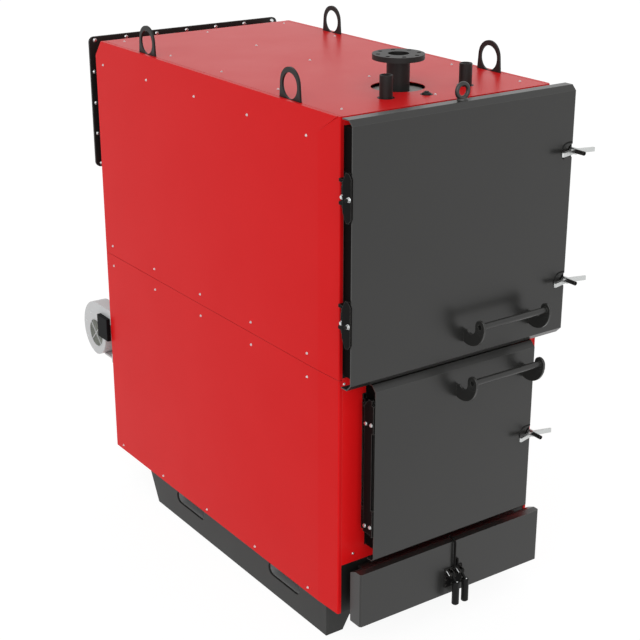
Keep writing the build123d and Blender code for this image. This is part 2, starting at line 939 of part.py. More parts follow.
def wing_nut(face, edge_x, z):
    """Nut with two swept wings, on the stud in front of the saddle."""
    back = face + door_sheet - nut_gap
    root = back - hub_length / 3
    sweep = root - wing_sweep
    with BuildPart() as nut:
        y_cylinder(edge_x, z, hub_r, back - hub_length, back)
        with BuildSketch(Plane.XY.offset(z - wing_height / 2)) as wings:
            Polygon(
                (edge_x - wing_span, sweep - wing_tip / 2),
                (edge_x - wing_span + 5, sweep - wing_tip),
                (edge_x, root - wing_root),
                (edge_x + wing_span - 5, sweep - wing_tip),
                (edge_x + wing_span, sweep - wing_tip / 2),
                (edge_x + wing_span - 1, sweep),
                (edge_x, root),
                (edge_x - wing_span + 1, sweep),
                align=None,
            )
        extrude(wings.sketch, amount=wing_height)
        y_cylinder(edge_x, z, stud_r + running_fit, back - 2 * hub_length, back, mode=Mode.SUBTRACT)
    return nut.part


def hinge_bracket(axis_x, axis_y, centres, arm_x, base_x, base_y):
    """Strip on the boiler front with two pairs of arms, each pair with a pin."""
    end = arm_low + arm_t + bracket_end
    with BuildPart() as bracket:
        block(base_x[0], base_x[1], base_y[0], base_y[1], centres[0] - end, centres[1] + end)
        for centre in centres:
            for arm_z in (centre - arm_low - arm_t, centre + arm_low):
                block(arm_x[0], arm_x[1], axis_y, front_y, arm_z, arm_z + arm_t)
                block(arm_x[0], base_x[1], base_y[0], front_y, arm_z, arm_z + arm_t)
                z_cylinder(axis_x, axis_y, knuckle_r, arm_z, arm_z + arm_t)
            pin_half = arm_low + arm_t + pin_end
            z_cylinder(axis_x, axis_y, pin_r, centre - pin_half, centre + pin_half)
    return bracket.part


def add_knuckle(edge_x, core_x, face, plate_rear, axis_x, axis_y, centre):
    """Adds one knuckle with its web and two ribs to the open hinge leaf."""
    low = centre - knuckle_half
    high = centre + knuckle_half
    block(-edge_x - web_lap, -edge_x - web_lap + web_t, plate_rear - web_lap - 2, axis_y, low, high)
    for rib_low in (centre - rib_z - rib_t / 2, centre + rib_z - rib_t / 2):
        block(
            -edge_x - web_lap,
            -core_x,
            face + rib_front,
            face + rib_front + rib_depth,
            rib_low,
            rib_low + rib_t,
        )
    z_cylinder(axis_x, axis_y, knuckle_r, low, high)
    z_cylinder(axis_x, axis_y, pin_r + running_fit, low, high, mode=Mode.SUBTRACT)


# Upper door
save(
    door_cover(
        upper_face,
        upper_rear,
        upper_x,
        upper_x,
        upper_low,
        upper_high,
        upper_bevel_low,
        upper_bevel_high,
        upper_nut_z,
    ),
    "upper_door_cover",
)
save(door_core(upper_face, upper_core_x, upper_core_low, upper_core_high), "upper_door_core")
save(j_handle(upper_face, upper_handle_z, upper_handle_x, upper_handle_span), "upper_door_handle")
for nut_z, level in zip(upper_nut_z, ("low", "high")):
    save(clamp_stud(upper_face, upper_x, upper_core_x, nut_z), "upper_door_stud_" + level)
    save(wing_nut(upper_face, upper_x, nut_z), "upper_wing_nut_" + level)

# Eye bolt on the upper door's top flange: collar and ring with bevelled edges
eye_z = upper_high + eye_rise
with BuildPart() as eye:
    y_cylinder(0, eye_z, eye_ring_r + eye_wire_r, eye_y - eye_wire_r, eye_y + eye_wire_r)
    y_cylinder(
        0, eye_z, eye_ring_r - eye_wire_r, eye_y - eye_wire_r, eye_y + eye_wire_r, mode=Mode.SUBTRACT
    )
    chamfer(eye.edges().filter_by(GeomType.CIRCLE), eye_edge)
    z_cylinder(0, eye_y, eye_collar_r, upper_high, upper_high + eye_collar_t)
save(eye.part, "lifting_eye")

# Upper door hinges: an octagonal plate with a stud end on each leaf
for centre, level in zip(upper_hinge_z, ("low", "high")):
    top = centre + octagon_half
    bottom = centre - octagon_half
    with BuildPart() as leaf:
        side_profile(
            (
                (octagon_front, bottom + octagon_cut_z),
                (octagon_front + octagon_cut, bottom),
                (octagon_rear - octagon_back, bottom),
                (octagon_rear, bottom + octagon_back_z),
                (octagon_rear, top - octagon_back_z),
                (octagon_rear - octagon_back, top),
                (octagon_front + octagon_cut, top),
                (octagon_front, top - octagon_cut_z),
            ),
            -upper_x - octagon_t,
            -upper_x,
        )
        plate_x = -upper_x - octagon_t
        stud_end_x = plate_x - octagon_stud_reach
        x_cylinder(octagon_stud_y, centre - octagon_stud_drop, octagon_stud_r, stud_end_x, plate_x)
        add_knuckle(upper_x, upper_core_x, upper_face, octagon_rear, upper_axis_x, upper_axis_y, centre)
    save(leaf.part, "upper_hinge_leaf_" + level)
save(
    hinge_bracket(
        upper_axis_x, upper_axis_y, upper_hinge_z, upper_arm_x, upper_strip_x, (upper_strip_front, plate_y)
    ),
    "upper_hinge_bracket",
)

# Lower door
save(
    door_cover(
        lower_face,
        lower_rear,
        lower_x,
        lower_free_x,
        lower_low,
        lower_high,
        lower_bevel_low,
        lower_bevel_high,
        lower_nut_z,
    ),
    "lower_door_cover",
)
save(door_core(lower_face, lower_core_x, lower_core_low, lower_core_high), "lower_door_core")
save(j_handle(lower_face, lower_handle_z, lower_handle_x, lower_handle_span), "lower_door_handle")
for nut_z in lower_nut_z:
    save(clamp_stud(lower_face, lower_free_x, lower_core_x, nut_z), "lower_door_stud")
    save(wing_nut(lower_face, lower_free_x, nut_z), "lower_wing_nut")

# Lower door hinge: one long strip with two front tabs and two knuckles
with BuildPart() as lower_leaf:
    side_profile(
        (
            (strip_front, strip_low),
            (strip_rear, strip_low),
            (strip_rear, strip_high - strip_cut_z),
            (strip_rear - strip_cut_y, strip_high),
            (strip_front, strip_high),
        ),
        -lower_x - strip_t,
        -lower_x,
    )
    for centre in lower_hinge_z:
        block(
            -lower_x - strip_t,
            -lower_x,
            lower_face,
            strip_front,
            centre - strip_tab,
            centre + strip_tab,
        )
        add_knuckle(lower_x, lower_core_x, lower_face, strip_rear, lower_axis_x, lower_axis_y, centre)
save(lower_leaf.part, "lower_hinge_leaf")
save(
    hinge_bracket(
        lower_axis_x, lower_axis_y, lower_hinge_z, lower_bracket_x, lower_bracket_x, (core_rear, front_y)
    ),
    "lower_hinge_bracket",
)

# Ash drawer: folded front with a top that falls to the rear and bevelled corners
skin_z = drawer_sheet + 0.7
with BuildPart() as drawer_front:
    side_profile(
        (
            (drawer_rear, drawer_low),
            (drawer_face, drawer_low),
            (drawer_face, drawer_high),
            (drawer_rear - drawer_fall_y, drawer_high),
            (drawer_rear, drawer_high - drawer_fall_z),
        ),
        -drawer_x,
        drawer_x,
    )
    chamfer(drawer_front.edges().filter_by(Axis.Z).group_by(Axis.Y)[0], drawer_corner)
    inner = drawer_x - drawer_sheet
    with BuildSketch(Plane.XY.offset(drawer_low + drawer_sheet)):
        Polygon(
            (-inner, drawer_rear),
            (inner, drawer_rear),
            (inner, drawer_face + drawer_sheet + drawer_corner - 1.2),
            (inner - drawer_corner + 1.2, drawer_face + drawer_sheet),
            (-inner + drawer_corner - 1.2, drawer_face + drawer_sheet),
            (-inner, drawer_face + drawer_sheet + drawer_corner - 1.2),
            align=None,
        )
    extrude(amount=drawer_height - drawer_fall_z - drawer_sheet - skin_z, mode=Mode.SUBTRACT)
    side_profile(
        (
            (drawer_rear, drawer_high - drawer_fall_z - skin_z),
            (drawer_face + drawer_sheet, drawer_high - drawer_fall_z - skin_z),
            (drawer_face + drawer_sheet, drawer_high - drawer_sheet),
            (drawer_rear - drawer_fall_y - 0.5, drawer_high - drawer_sheet),
        ),
        -inner + drawer_corner,
        inner - drawer_corner,
        mode=Mode.SUBTRACT,
    )
save(drawer_front.part, "ash_drawer_front")

# Ash tray behind the drawer front, with its insulated head
with BuildPart() as tray:
    block(
        -drawer_core_x,
        drawer_core_x,
        drawer_face + drawer_sheet,
        core_rear,
        drawer_low + drawer_core_inset,
        drawer_high - drawer_core_inset,
    )
    block(-tray_x, tray_x, core_rear, tray_rear, tray_low, tray_high)
    block(
        tray_t - tray_x,
        tray_x - tray_t,
        core_rear,
        tray_rear - tray_t,
        tray_low + tray_t,
        tray_high,
        mode=Mode.SUBTRACT,
    )
save(tray.part, "ash_tray")

# Toggle clamps on the drawer front: plate, ears with pins, a short rod and a bent hook rod
with BuildPart() as toggle_base:
    block(
        lever_x[0] - toggle_margin,
        lever_x[1] + toggle_margin,
        drawer_face - toggle_plate_t,
        drawer_face,
        lever_axis_z - toggle_low,
        lever_axis_z + toggle_high,
    )
    for centre in lever_x:
        for ear_x in (centre - ear_gap / 2 - ear_t, centre + ear_gap / 2):
            with BuildSketch(Plane.YZ.offset(ear_x)):
                Polygon(
                    (drawer_face - toggle_plate_t, lever_axis_z - ear_root),
                    (drawer_face - toggle_plate_t, lever_axis_z + ear_root),
                    (lever_axis_y - ear_r / 2, lever_axis_z + ear_r),
                    (lever_axis_y - ear_r, lever_axis_z + ear_r / 2),
                    (lever_axis_y - ear_r, lever_axis_z - ear_r / 2),
                    (lever_axis_y - ear_r / 2, lever_axis_z - ear_r),
                    align=None,
                )
            extrude(amount=ear_t)
        pin_half = ear_gap / 2 + ear_t + 2
        x_cylinder(lever_axis_y, lever_axis_z, toggle_pin_r, centre - pin_half, centre + pin_half)
    z_cylinder(short_rod_x, drawer_face - toggle_plate_t, rod_r, rod_low, rod_low + short_rod_length)
    with BuildLine(Plane.YZ.offset(hook_x)) as hook:
        FilletPolyline(
            (hook_y, rod_low),
            (hook_y, hook_bend_z),
            (hook_y + hook_rise, hook_bend_z + hook_rise),
            (hook_y + hook_reach, hook_bend_z + hook_rise),
            radius=hook_bend_r,
        )
    with BuildSketch(Plane(origin=hook.line @ 0, z_dir=hook.line % 0)) as hook_section:
        Circle(rod_r)
    sweep(hook_section.sketch, path=hook.line)
save(toggle_base.part, "toggle_base")

# Toggle levers with round grips, hanging down
grip_y = lever_axis_y - lever_lean
grip_high = lever_axis_z - lever_drop + 5
for centre, hand in zip(lever_x, ("left", "right")):
    half = ear_gap / 2 - 1
    with BuildPart() as lever:
        z_cylinder(centre, grip_y, grip_r, grip_high - grip_length, grip_high)
        chamfer(lever.edges().filter_by(GeomType.CIRCLE), grip_chamfer)
        x_cylinder(lever_axis_y, lever_axis_z, lever_eye_r, centre - half, centre + half)
        side_profile(
            (
                (lever_axis_y - lever_eye_r + 1, lever_axis_z),
                (grip_y - 6, lever_axis_z - lever_drop),
                (grip_y + 6, lever_axis_z - lever_drop),
                (lever_axis_y + 4, lever_axis_z - 5),
            ),
            centre - lever_t / 2,
            centre + lever_t / 2,
        )
        x_cylinder(
            lever_axis_y,
            lever_axis_z,
            toggle_pin_r + running_fit,
            centre - half,
            centre + half,
            mode=Mode.SUBTRACT,
        )
    save(lever.part, "toggle_lever_" + hand)


def scroll_outline(inset, duct_end):
    """Y-Z outline of the fan scroll with its duct, moved inwards by inset."""
    side_r = fan_r - inset
    low_r = (fan_r + fan_throat) / 2 - inset
    throat = fan_throat - inset
    top = fan_crown - inset
    turn = 0.7071
    back = (fan_r + fan_crown) / 2 - inset
    lip_z = duct_low + inset
    with BuildLine() as line:
        Polyline(
            (fan_y, fan_z + top),
            (duct_end, fan_z + top),
            (duct_end, lip_z),
            (fan_y - throat, lip_z),
            (fan_y - throat, fan_z),
        )
        ThreePointArc(
            (fan_y - throat, fan_z),
            (fan_y - turn * (throat + 3), fan_z - turn * (throat + 3)),
            (fan_y, fan_z - low_r),
        )
        ThreePointArc(
            (fan_y, fan_z - low_r),
            (fan_y + turn * (low_r + 4), fan_z - turn * (low_r + 4)),
            (fan_y + side_r, fan_z),
        )
        ThreePointArc(
            (fan_y + side_r, fan_z),
            (fan_y + turn * (back - 2), fan_z + turn * (back + 2)),
            (fan_y, fan_z + top),
        )
    return line.line


# Combustion fan: scroll housing with the duct and a foot to the rear panel
with BuildPart() as fan_housing:
    with BuildSketch(Plane.YZ.offset(fan_x0)):
        with BuildLine():
            add(scroll_outline(0, rear_y))
        make_face()
    extrude(amount=fan_depth)
    block(fan_x0 + box_t, fan_x1 - foot_t, rear_y, rear_y + foot_reach, foot_low, foot_low + foot_t)
    block(fan_x0, fan_x1, rear_y, rear_y + foot_t, foot_low, foot_high)
    with BuildSketch(Plane.YZ.offset(fan_x0 + fan_sheet)):
        with BuildLine():
            add(scroll_outline(fan_sheet, rear_y))
        make_face()
    extrude(amount=fan_depth - 2 * fan_sheet, mode=Mode.SUBTRACT)
    x_cylinder(fan_y, fan_z, fan_inlet_r, fan_x0, fan_x0 + fan_sheet, mode=Mode.SUBTRACT)
    x_cylinder(fan_y, fan_z, shaft_hole_r, fan_x1 - fan_sheet, fan_x1, mode=Mode.SUBTRACT)
save(fan_housing.part, "fan_housing")

# Fan wheel: hub, back plate and twelve blades
wheel_x = fan_x1 - wheel_back
with BuildPart() as wheel:
    x_cylinder(fan_y, fan_z, wheel_r, wheel_x, wheel_x + wheel_plate_t)
    x_cylinder(fan_y, fan_z, wheel_hub_r, wheel_x - wheel_depth + 10, wheel_x + wheel_plate_t + 4)
    with BuildSketch(Plane.YZ.offset(wheel_x - wheel_depth)):
        with Locations((fan_y, fan_z)):
            with PolarLocations(blade_r, 12):
                Rectangle(blade_length, blade_t, rotation=blade_turn)
    extrude(amount=wheel_depth)
    x_cylinder(fan_y, fan_z, fan_shaft_r + running_fit, wheel_x - wheel_depth, fan_x1, mode=Mode.SUBTRACT)
save(wheel.part, "fan_wheel")

# Fan motor with its shaft
with BuildPart() as motor:
    x_cylinder(fan_y, fan_z, motor_r, fan_x1, fan_x1 + motor_length)
    chamfer(motor.edges().filter_by(GeomType.CIRCLE).group_by(Axis.X)[-1], motor_chamfer)
    x_cylinder(fan_y, fan_z, fan_shaft_r, fan_x1 - fan_shaft, fan_x1)
save(motor.part, "fan_motor")

# Terminal box on the side of the fan duct
with BuildPart() as terminal_box:
    block(fan_x0 - box_t, fan_x0, box_y0, box_y1, box_low, box_high)
    chamfer(terminal_box.edges().group_by(Axis.X)[0], 2)
save(terminal_box.part, "fan_terminal_box")
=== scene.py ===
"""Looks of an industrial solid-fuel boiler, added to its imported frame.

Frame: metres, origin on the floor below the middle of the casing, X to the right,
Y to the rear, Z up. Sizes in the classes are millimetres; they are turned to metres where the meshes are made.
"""

import logging
import math
from collections.abc import Iterable, Sequence
from dataclasses import dataclass, fields
from enum import Enum

import bmesh
import bpy
import numpy as np
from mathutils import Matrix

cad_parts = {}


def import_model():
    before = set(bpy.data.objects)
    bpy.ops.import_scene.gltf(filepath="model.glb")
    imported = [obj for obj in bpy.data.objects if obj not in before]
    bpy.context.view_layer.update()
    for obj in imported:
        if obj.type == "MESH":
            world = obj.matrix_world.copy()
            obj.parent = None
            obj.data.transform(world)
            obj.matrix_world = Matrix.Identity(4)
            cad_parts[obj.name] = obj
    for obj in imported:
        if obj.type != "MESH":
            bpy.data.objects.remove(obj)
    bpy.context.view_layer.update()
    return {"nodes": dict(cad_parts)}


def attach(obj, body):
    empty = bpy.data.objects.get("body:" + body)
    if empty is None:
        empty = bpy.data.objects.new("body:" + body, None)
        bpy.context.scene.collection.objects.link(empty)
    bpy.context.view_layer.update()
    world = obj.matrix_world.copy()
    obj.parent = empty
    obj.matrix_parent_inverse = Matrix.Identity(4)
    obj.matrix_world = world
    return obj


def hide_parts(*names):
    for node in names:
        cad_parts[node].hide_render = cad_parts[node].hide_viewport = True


MM = 0.001
EDGE_GAIN = 3.0  # how fast the painted edge highlight fades in
log = logging.getLogger("boiler")

Point = tuple[float, float, float]
Profile = Sequence[tuple[float, float]]
Materials = dict[str, bpy.types.Material]


# Meshes worked out as whole arrays


class Facing(Enum):
    """Directions that the top of a turned shape can point in, as the rows of its axes."""

    UP = ((1, 0, 0), (0, 1, 0), (0, 0, 1))
    DOWN = ((1, 0, 0), (0, -1, 0), (0, 0, -1))
    LEFT = ((0, -1, 0), (0, 0, 1), (-1, 0, 0))
    RIGHT = ((0, 1, 0), (0, 0, 1), (1, 0, 0))
    FRONT = ((1, 0, 0), (0, 0, 1), (0, -1, 0))
    REAR = ((-1, 0, 0), (0, 0, 1), (0, 1, 0))


@dataclass
class Solid:
    """A mesh as arrays: corners in millimetres and four-sided faces.

    Attributes:
        corners: array of n by 3 coordinates.
        faces: array of m by 4 corner numbers.
    """

    corners: np.ndarray
    faces: np.ndarray

    def moved(self, places: Sequence[Point], facing: Facing = Facing.UP) -> "Solid":
        """Repeats the solid at several places.

        Each corner is the local corner in the facing's axes plus the place.

        Args:
            places: where the local origin goes, in millimetres.
            facing: where the local top points.

        Returns:
            One solid with a copy at every place.
        """
        turned = self.corners @ np.array(facing.value, float)
        spots = np.array(places, float).reshape(-1, 1, 3)
        corners = (turned[None] + spots).reshape(-1, 3)
        steps = np.arange(len(spots)).reshape(-1, 1, 1) * len(self.corners)
        return Solid(corners, (self.faces[None] + steps).reshape(-1, 4))

    def raised(self, height: float) -> "Solid":
        """The solid lifted along its local Z axis."""
        return Solid(self.corners + (0, 0, height), self.faces)


def grid_faces(rows: int, columns: int, close_rows: bool, close_columns: bool) -> np.ndarray:
    """Joins the points of a grid into quads.

    A quad joins point (i, j) with its neighbours (i, j+1), (i+1, j+1) and (i+1, j);
    a closed direction wraps round to its start.

    Args:
        rows: points along the first direction.
        columns: points along the second direction.
        close_rows: whether the last row joins the first.
        close_columns: whether the last column joins the first.

    Returns:
        Array of quads as point numbers.
    """
    i, j = np.meshgrid(
        np.arange(rows if close_rows else rows - 1),
        np.arange(columns if close_columns else columns - 1),
        indexing="ij",
    )
    i2, j2 = (i + 1) % rows, (j + 1) % columns
    quads = (i * columns + j, i * columns + j2, i2 * columns + j2, i2 * columns + j)
    return np.stack(quads, -1).reshape(-1, 4)


def lathe(profile: Profile, steps: int, ring: bool = False) -> Solid:
    """Turns a profile about the local Z axis.

    A point (radius, height) becomes (radius cos t, radius sin t, height) for each angle t.

    Args:
        profile: (radius, height) pairs; a solid starts and ends on the axis.
        steps: corners round the axis.
        ring: whether the profile closes on itself, away from the axis.

    Returns:
        The turned solid.
    """
    pairs = np.array(profile, float)
    angle = np.arange(steps) * 2 * np.pi / steps
    radius, height = pairs[:, :1], pairs[:, 1:]
    corners = np.stack(
        (radius * np.cos(angle), radius * np.sin(angle), np.broadcast_to(height, (len(pairs), steps))), -1
    ).reshape(-1, 3)
    return Solid(corners, grid_faces(len(pairs), steps, ring, True))


def thread(radius: float, depth: float, pitch: float, length: float, steps: int = 20) -> Solid:
    """A threaded bar from the local origin upwards.

    The radius at height z and angle t is the outer radius less the depth times
    a triangle wave of z / pitch - t / turn, so that crests run round as a helix.

    Args:
        radius: outer radius.
        depth: depth of the thread.
        pitch: distance between crests.
        length: length of the bar.
        steps: corners round the bar.

    Returns:
        The bar with closed ends.
    """
    angle = np.arange(steps) * 2 * np.pi / steps
    height = np.linspace(0, length, int(length / pitch * 4) + 1)[:, None]
    phase = (height / pitch - angle / (2 * np.pi)) % 1.0
    reach = radius - depth * np.abs(2 * phase - 1)
    reach = np.vstack((np.zeros((1, steps)), reach, np.zeros((1, steps))))
    height = np.vstack(([[0.0]], height, [[length]]))
    corners = np.stack(
        (reach * np.cos(angle), reach * np.sin(angle), np.broadcast_to(height, reach.shape)), -1
    )
    return Solid(corners.reshape(-1, 3), grid_faces(len(height), steps, False, True))


def tube(path: np.ndarray, across: Point, radius: float, sides: int = 8, closed: bool = False) -> Solid:
    """Carries a circle along a path that lies in one plane.

    Each corner is the path's point plus radius times (cos t along the plane's normal
    plus sin t along the sideways direction), and the sideways direction is tangent x normal.

    Args:
        path: array of n by 3 points.
        across: the normal of the path's plane.
        radius: radius of the tube.
        sides: corners round the tube.
        closed: whether the path is a loop; an open tube gets closed ends.

    Returns:
        The tube.
    """
    points = np.asarray(path, float)
    if closed:
        ahead = np.roll(points, -1, 0) - np.roll(points, 1, 0)
        reach = np.full(len(points), radius)
    else:
        ahead = np.gradient(points, axis=0)
        points = np.vstack((points[:1], points, points[-1:]))
        ahead = np.vstack((ahead[:1], ahead, ahead[-1:]))
        reach = np.full(len(points), radius)
        reach[[0, -1]] = 0.0
    ahead /= np.linalg.norm(ahead, axis=1, keepdims=True)
    normal = np.broadcast_to(np.array(across, float), points.shape)
    side = np.cross(ahead, normal)
    angle = np.arange(sides) * 2 * np.pi / sides
    ring = np.cos(angle)[None, :, None] * normal[:, None] + np.sin(angle)[None, :, None] * side[:, None]
    corners = points[:, None] + reach[:, None, None] * ring
    return Solid(corners.reshape(-1, 3), grid_faces(len(points), sides, closed, True))


def weld_ring(radius: float, size: float, ripple: float, steps: int = 96) -> Solid:
    """A fillet weld round a pipe that stands on a plate at the local origin.

    The section is a half-round bead; its size at angle t is the size plus the ripple
    times the absolute sine of the bead's count times t.

    Args:
        radius: radius of the pipe.
        size: leg of the weld.
        ripple: height of the ripples.
        steps: corners round the pipe.

    Returns:
        The closed bead.
    """
    angle = (np.arange(steps) * 2 * np.pi / steps)[:, None]
    beads = round(2 * math.pi * radius / 9.0)
    leg = size + ripple * np.abs(np.sin(angle * beads / 2))
    turn = np.array((0.0, 22.5, 45.0, 67.5, 90.0)) * np.pi / 180
    reach = np.hstack((radius + leg * np.cos(turn) * 0.95, np.full((steps, 1), radius - 0.5)))
    height = np.hstack((leg * np.sin(turn) * 0.95, np.zeros((steps, 1))))
    corners = np.stack((reach * np.cos(angle), reach * np.sin(angle), height), -1).reshape(-1, 3)
    return Solid(corners, grid_faces(steps, 6, True, True))


def hexagon(flats: float, height: float, edge: float = 0.8) -> Solid:
    """A hexagon head with a bevelled top, standing on the local origin."""
    radius = flats / math.sqrt(3)
    return lathe(((0, 0), (radius, 0), (radius, height - edge), (radius - 1.6 * edge, height), (0, height)), 6)


def washer(inner: float, outer: float, height: float) -> Solid:
    """A flat washer with a softened edge, standing on the local origin.

    Args:
        inner: radius of its hole.
        outer: outer radius.
        height: thickness; the bevel is three tenths of it.

    Returns:
        The washer as a closed ring.
    """
    edge = height * 0.3
    profile = ((inner, 0), (outer, 0), (outer, height - edge), (outer - edge, height), (inner, height))
    return lathe(profile, 28, ring=True)


def joined(solids: Iterable[Solid]) -> Solid:
    """Puts several solids into one pair of arrays.

    Args:
        solids: the solids, in the same axes.

    Returns:
        One solid that holds them all, unmerged.
    """
    corners, faces, count = [], [], 0
    for solid in solids:
        corners.append(solid.corners)
        faces.append(solid.faces + count)
        count += len(solid.corners)
    return Solid(np.vstack(corners), np.vstack(faces))


def bolt_head(flats: float, height: float, hole: float, rim: float, seat: float) -> Solid:
    """A hexagon head on its washer, standing on the local origin.

    Args:
        flats: width of the hexagon across its flats.
        height: height of the hexagon.
        hole: radius of the washer's hole.
        rim: outer radius of the washer.
        seat: thickness of the washer.

    Returns:
        The head and the washer.
    """
    return joined((washer(hole, rim, seat), hexagon(flats, height).raised(seat)))


def make_piece(
    name: str, solids: Sequence[Solid], finish: bpy.types.Material, body: str, soft: float = 35.0
) -> bpy.types.Object:
    """Makes a scene object of solids and lets it ride on a body.

    Args:
        name: name of the object.
        solids: the solids that it holds, in millimetres in the row's frame.
        finish: its material.
        body: the CAD body it moves with.
        soft: edges flatter than this angle in degrees are shaded smooth.

    Returns:
        The new object, at the origin.
    """
    whole = joined(solids)
    mesh = bpy.data.meshes.new(name)
    mesh.from_pydata((whole.corners * MM).tolist(), [], whole.faces.tolist())
    work = bmesh.new()
    work.from_mesh(mesh)
    bmesh.ops.remove_doubles(work, verts=work.verts, dist=2e-6)
    bmesh.ops.recalc_face_normals(work, faces=work.faces)
    work.to_mesh(mesh)
    work.free()
    mesh.polygons.foreach_set("use_smooth", np.ones(len(mesh.polygons), bool))
    mesh.set_sharp_from_angle(angle=math.radians(soft))
    mesh.materials.append(finish)
    piece = bpy.data.objects.new(name, mesh)
    bpy.context.scene.collection.objects.link(piece)
    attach(piece, body)
    log.info("%s: %d faces on %s", name, len(mesh.polygons), body)
    return piece


# Finishes


def linear(colour: str) -> tuple[float, float, float, float]:
    """Turns an sRGB colour to linear light.

    Args:
        colour: the colour as #rrggbb.

    Returns:
        Linear red, green and blue, and an alpha of one.
    """
    parts = (int(colour[i : i + 2], 16) / 255 for i in (1, 3, 5))
    bent = [c / 12.92 if c <= 0.04045 else ((c + 0.055) / 1.055) ** 2.4 for c in parts]
    return (*bent, 1.0)


def add(
    tree: bpy.types.NodeTree, kind: str, inputs: dict[str | int, object] | None = None, **settings: object
) -> bpy.types.Node:
    """Adds one node with its settings, constants and links.

    Args:
        tree: the node tree.
        kind: the node's type.
        inputs: constants or output sockets, by the input's name or number.
        settings: values of the node's own properties.

    Returns:
        The node.
    """
    made = tree.nodes.new(kind)
    for key, value in settings.items():
        setattr(made, key, value)
    for key, value in (inputs or {}).items():
        if isinstance(value, bpy.types.NodeSocket):
            tree.links.new(value, made.inputs[key])
        else:
            made.inputs[key].default_value = value
    return made


def blank(name: str) -> bpy.types.Material:
    """A new material with an empty node tree.

    Args:
        name: name of the material.

    Returns:
        The material.
    """
    material = bpy.data.materials.new(name)
    material.use_nodes = True
    material.node_tree.nodes.clear()
    return material


def edge_mask(tree: bpy.types.NodeTree, radius: float) -> bpy.types.NodeSocket:
    """A mask that is high near sharp edges.

    It is the gain times one less the cosine between the face's normal and the rounded normal.

    Args:
        tree: the node tree.
        radius: how far the edge reaches, in millimetres.

    Returns:
        The mask's socket.
    """
    rounded = add(tree, "ShaderNodeBevel", {"Radius": radius * MM}, samples=4)
    flat = add(tree, "ShaderNodeNewGeometry")
    match = add(
        tree,
        "ShaderNodeVectorMath",
        {0: rounded.outputs["Normal"], 1: flat.outputs["True Normal"]},
        operation="DOT_PRODUCT",
    )
    gap = add(tree, "ShaderNodeMath", {0: 1.0, 1: match.outputs["Value"]}, operation="SUBTRACT")
    mask = add(
        tree, "ShaderNodeMath", {0: gap.outputs[0], 1: EDGE_GAIN}, operation="MULTIPLY", use_clamp=True
    )
    return mask.outputs[0]


@dataclass(frozen=True)
class Coat:
    """Powder coat or paint on sheet steel: an even film with a fine orange peel, and a painted highlight along
    sharp edges.

    Attributes:
        name: name of the material.
        colour: main colour.
        tone: colour of the slow drift in the film, close to the main colour.
        edge: colour of the painted highlight along sharp edges, where they would catch the light.
        roughness: middle roughness.
        specular: specular level of the film.
        rim: how far the painted edge highlight reaches from the edges, in millimetres.
        peel: size of the orange peel in millimetres.
        relief: strength of the peel.
        depth: depth of the peel in millimetres.
        cloud: size of the slow drift in millimetres.
        swing: how far the roughness drifts either way.
    """

    name: str
    colour: str
    tone: str
    edge: str
    roughness: float
    specular: float = 0.5
    rim: float = 1.6
    peel: float = 1.6
    relief: float = 0.05
    depth: float = 0.4
    cloud: float = 260.0
    swing: float = 0.04

    def material(self) -> bpy.types.Material:
        """Builds the film's node tree on Object coordinates.

        Returns:
            The material.
        """
        made = blank(self.name)
        tree = made.node_tree
        place = add(tree, "ShaderNodeTexCoord").outputs["Object"]
        drift = add(
            tree, "ShaderNodeTexNoise", {"Vector": place, "Scale": 1 / (self.cloud * MM), "Detail": 3.0}
        ).outputs["Fac"]
        film = add(
            tree,
            "ShaderNodeMix",
            {"Factor": drift, 6: linear(self.colour), 7: linear(self.tone)},
            data_type="RGBA",
        ).outputs[2]
        # Painted highlight: the edge colour is mixed over the film along sharp edges
        skin = add(
            tree,
            "ShaderNodeMix",
            {"Factor": edge_mask(tree, self.rim), 6: film, 7: linear(self.edge)},
            data_type="RGBA",
        ).outputs[2]
        shine = add(
            tree,
            "ShaderNodeMapRange",
            {"Value": drift, "To Min": self.roughness - self.swing, "To Max": self.roughness + self.swing},
        ).outputs[0]
        grain = add(
            tree, "ShaderNodeTexNoise", {"Vector": place, "Scale": 1 / (self.peel * MM), "Detail": 2.0}
        ).outputs["Fac"]
        bump = add(
            tree, "ShaderNodeBump", {"Strength": self.relief, "Distance": self.depth * MM, "Height": grain}
        ).outputs[0]
        shader = add(
            tree,
            "ShaderNodeBsdfPrincipled",
            {"Base Color": skin, "Roughness": shine, "Specular IOR Level": self.specular, "Normal": bump},
        )
        add(tree, "ShaderNodeOutputMaterial", {"Surface": shader.outputs[0]})
        return made


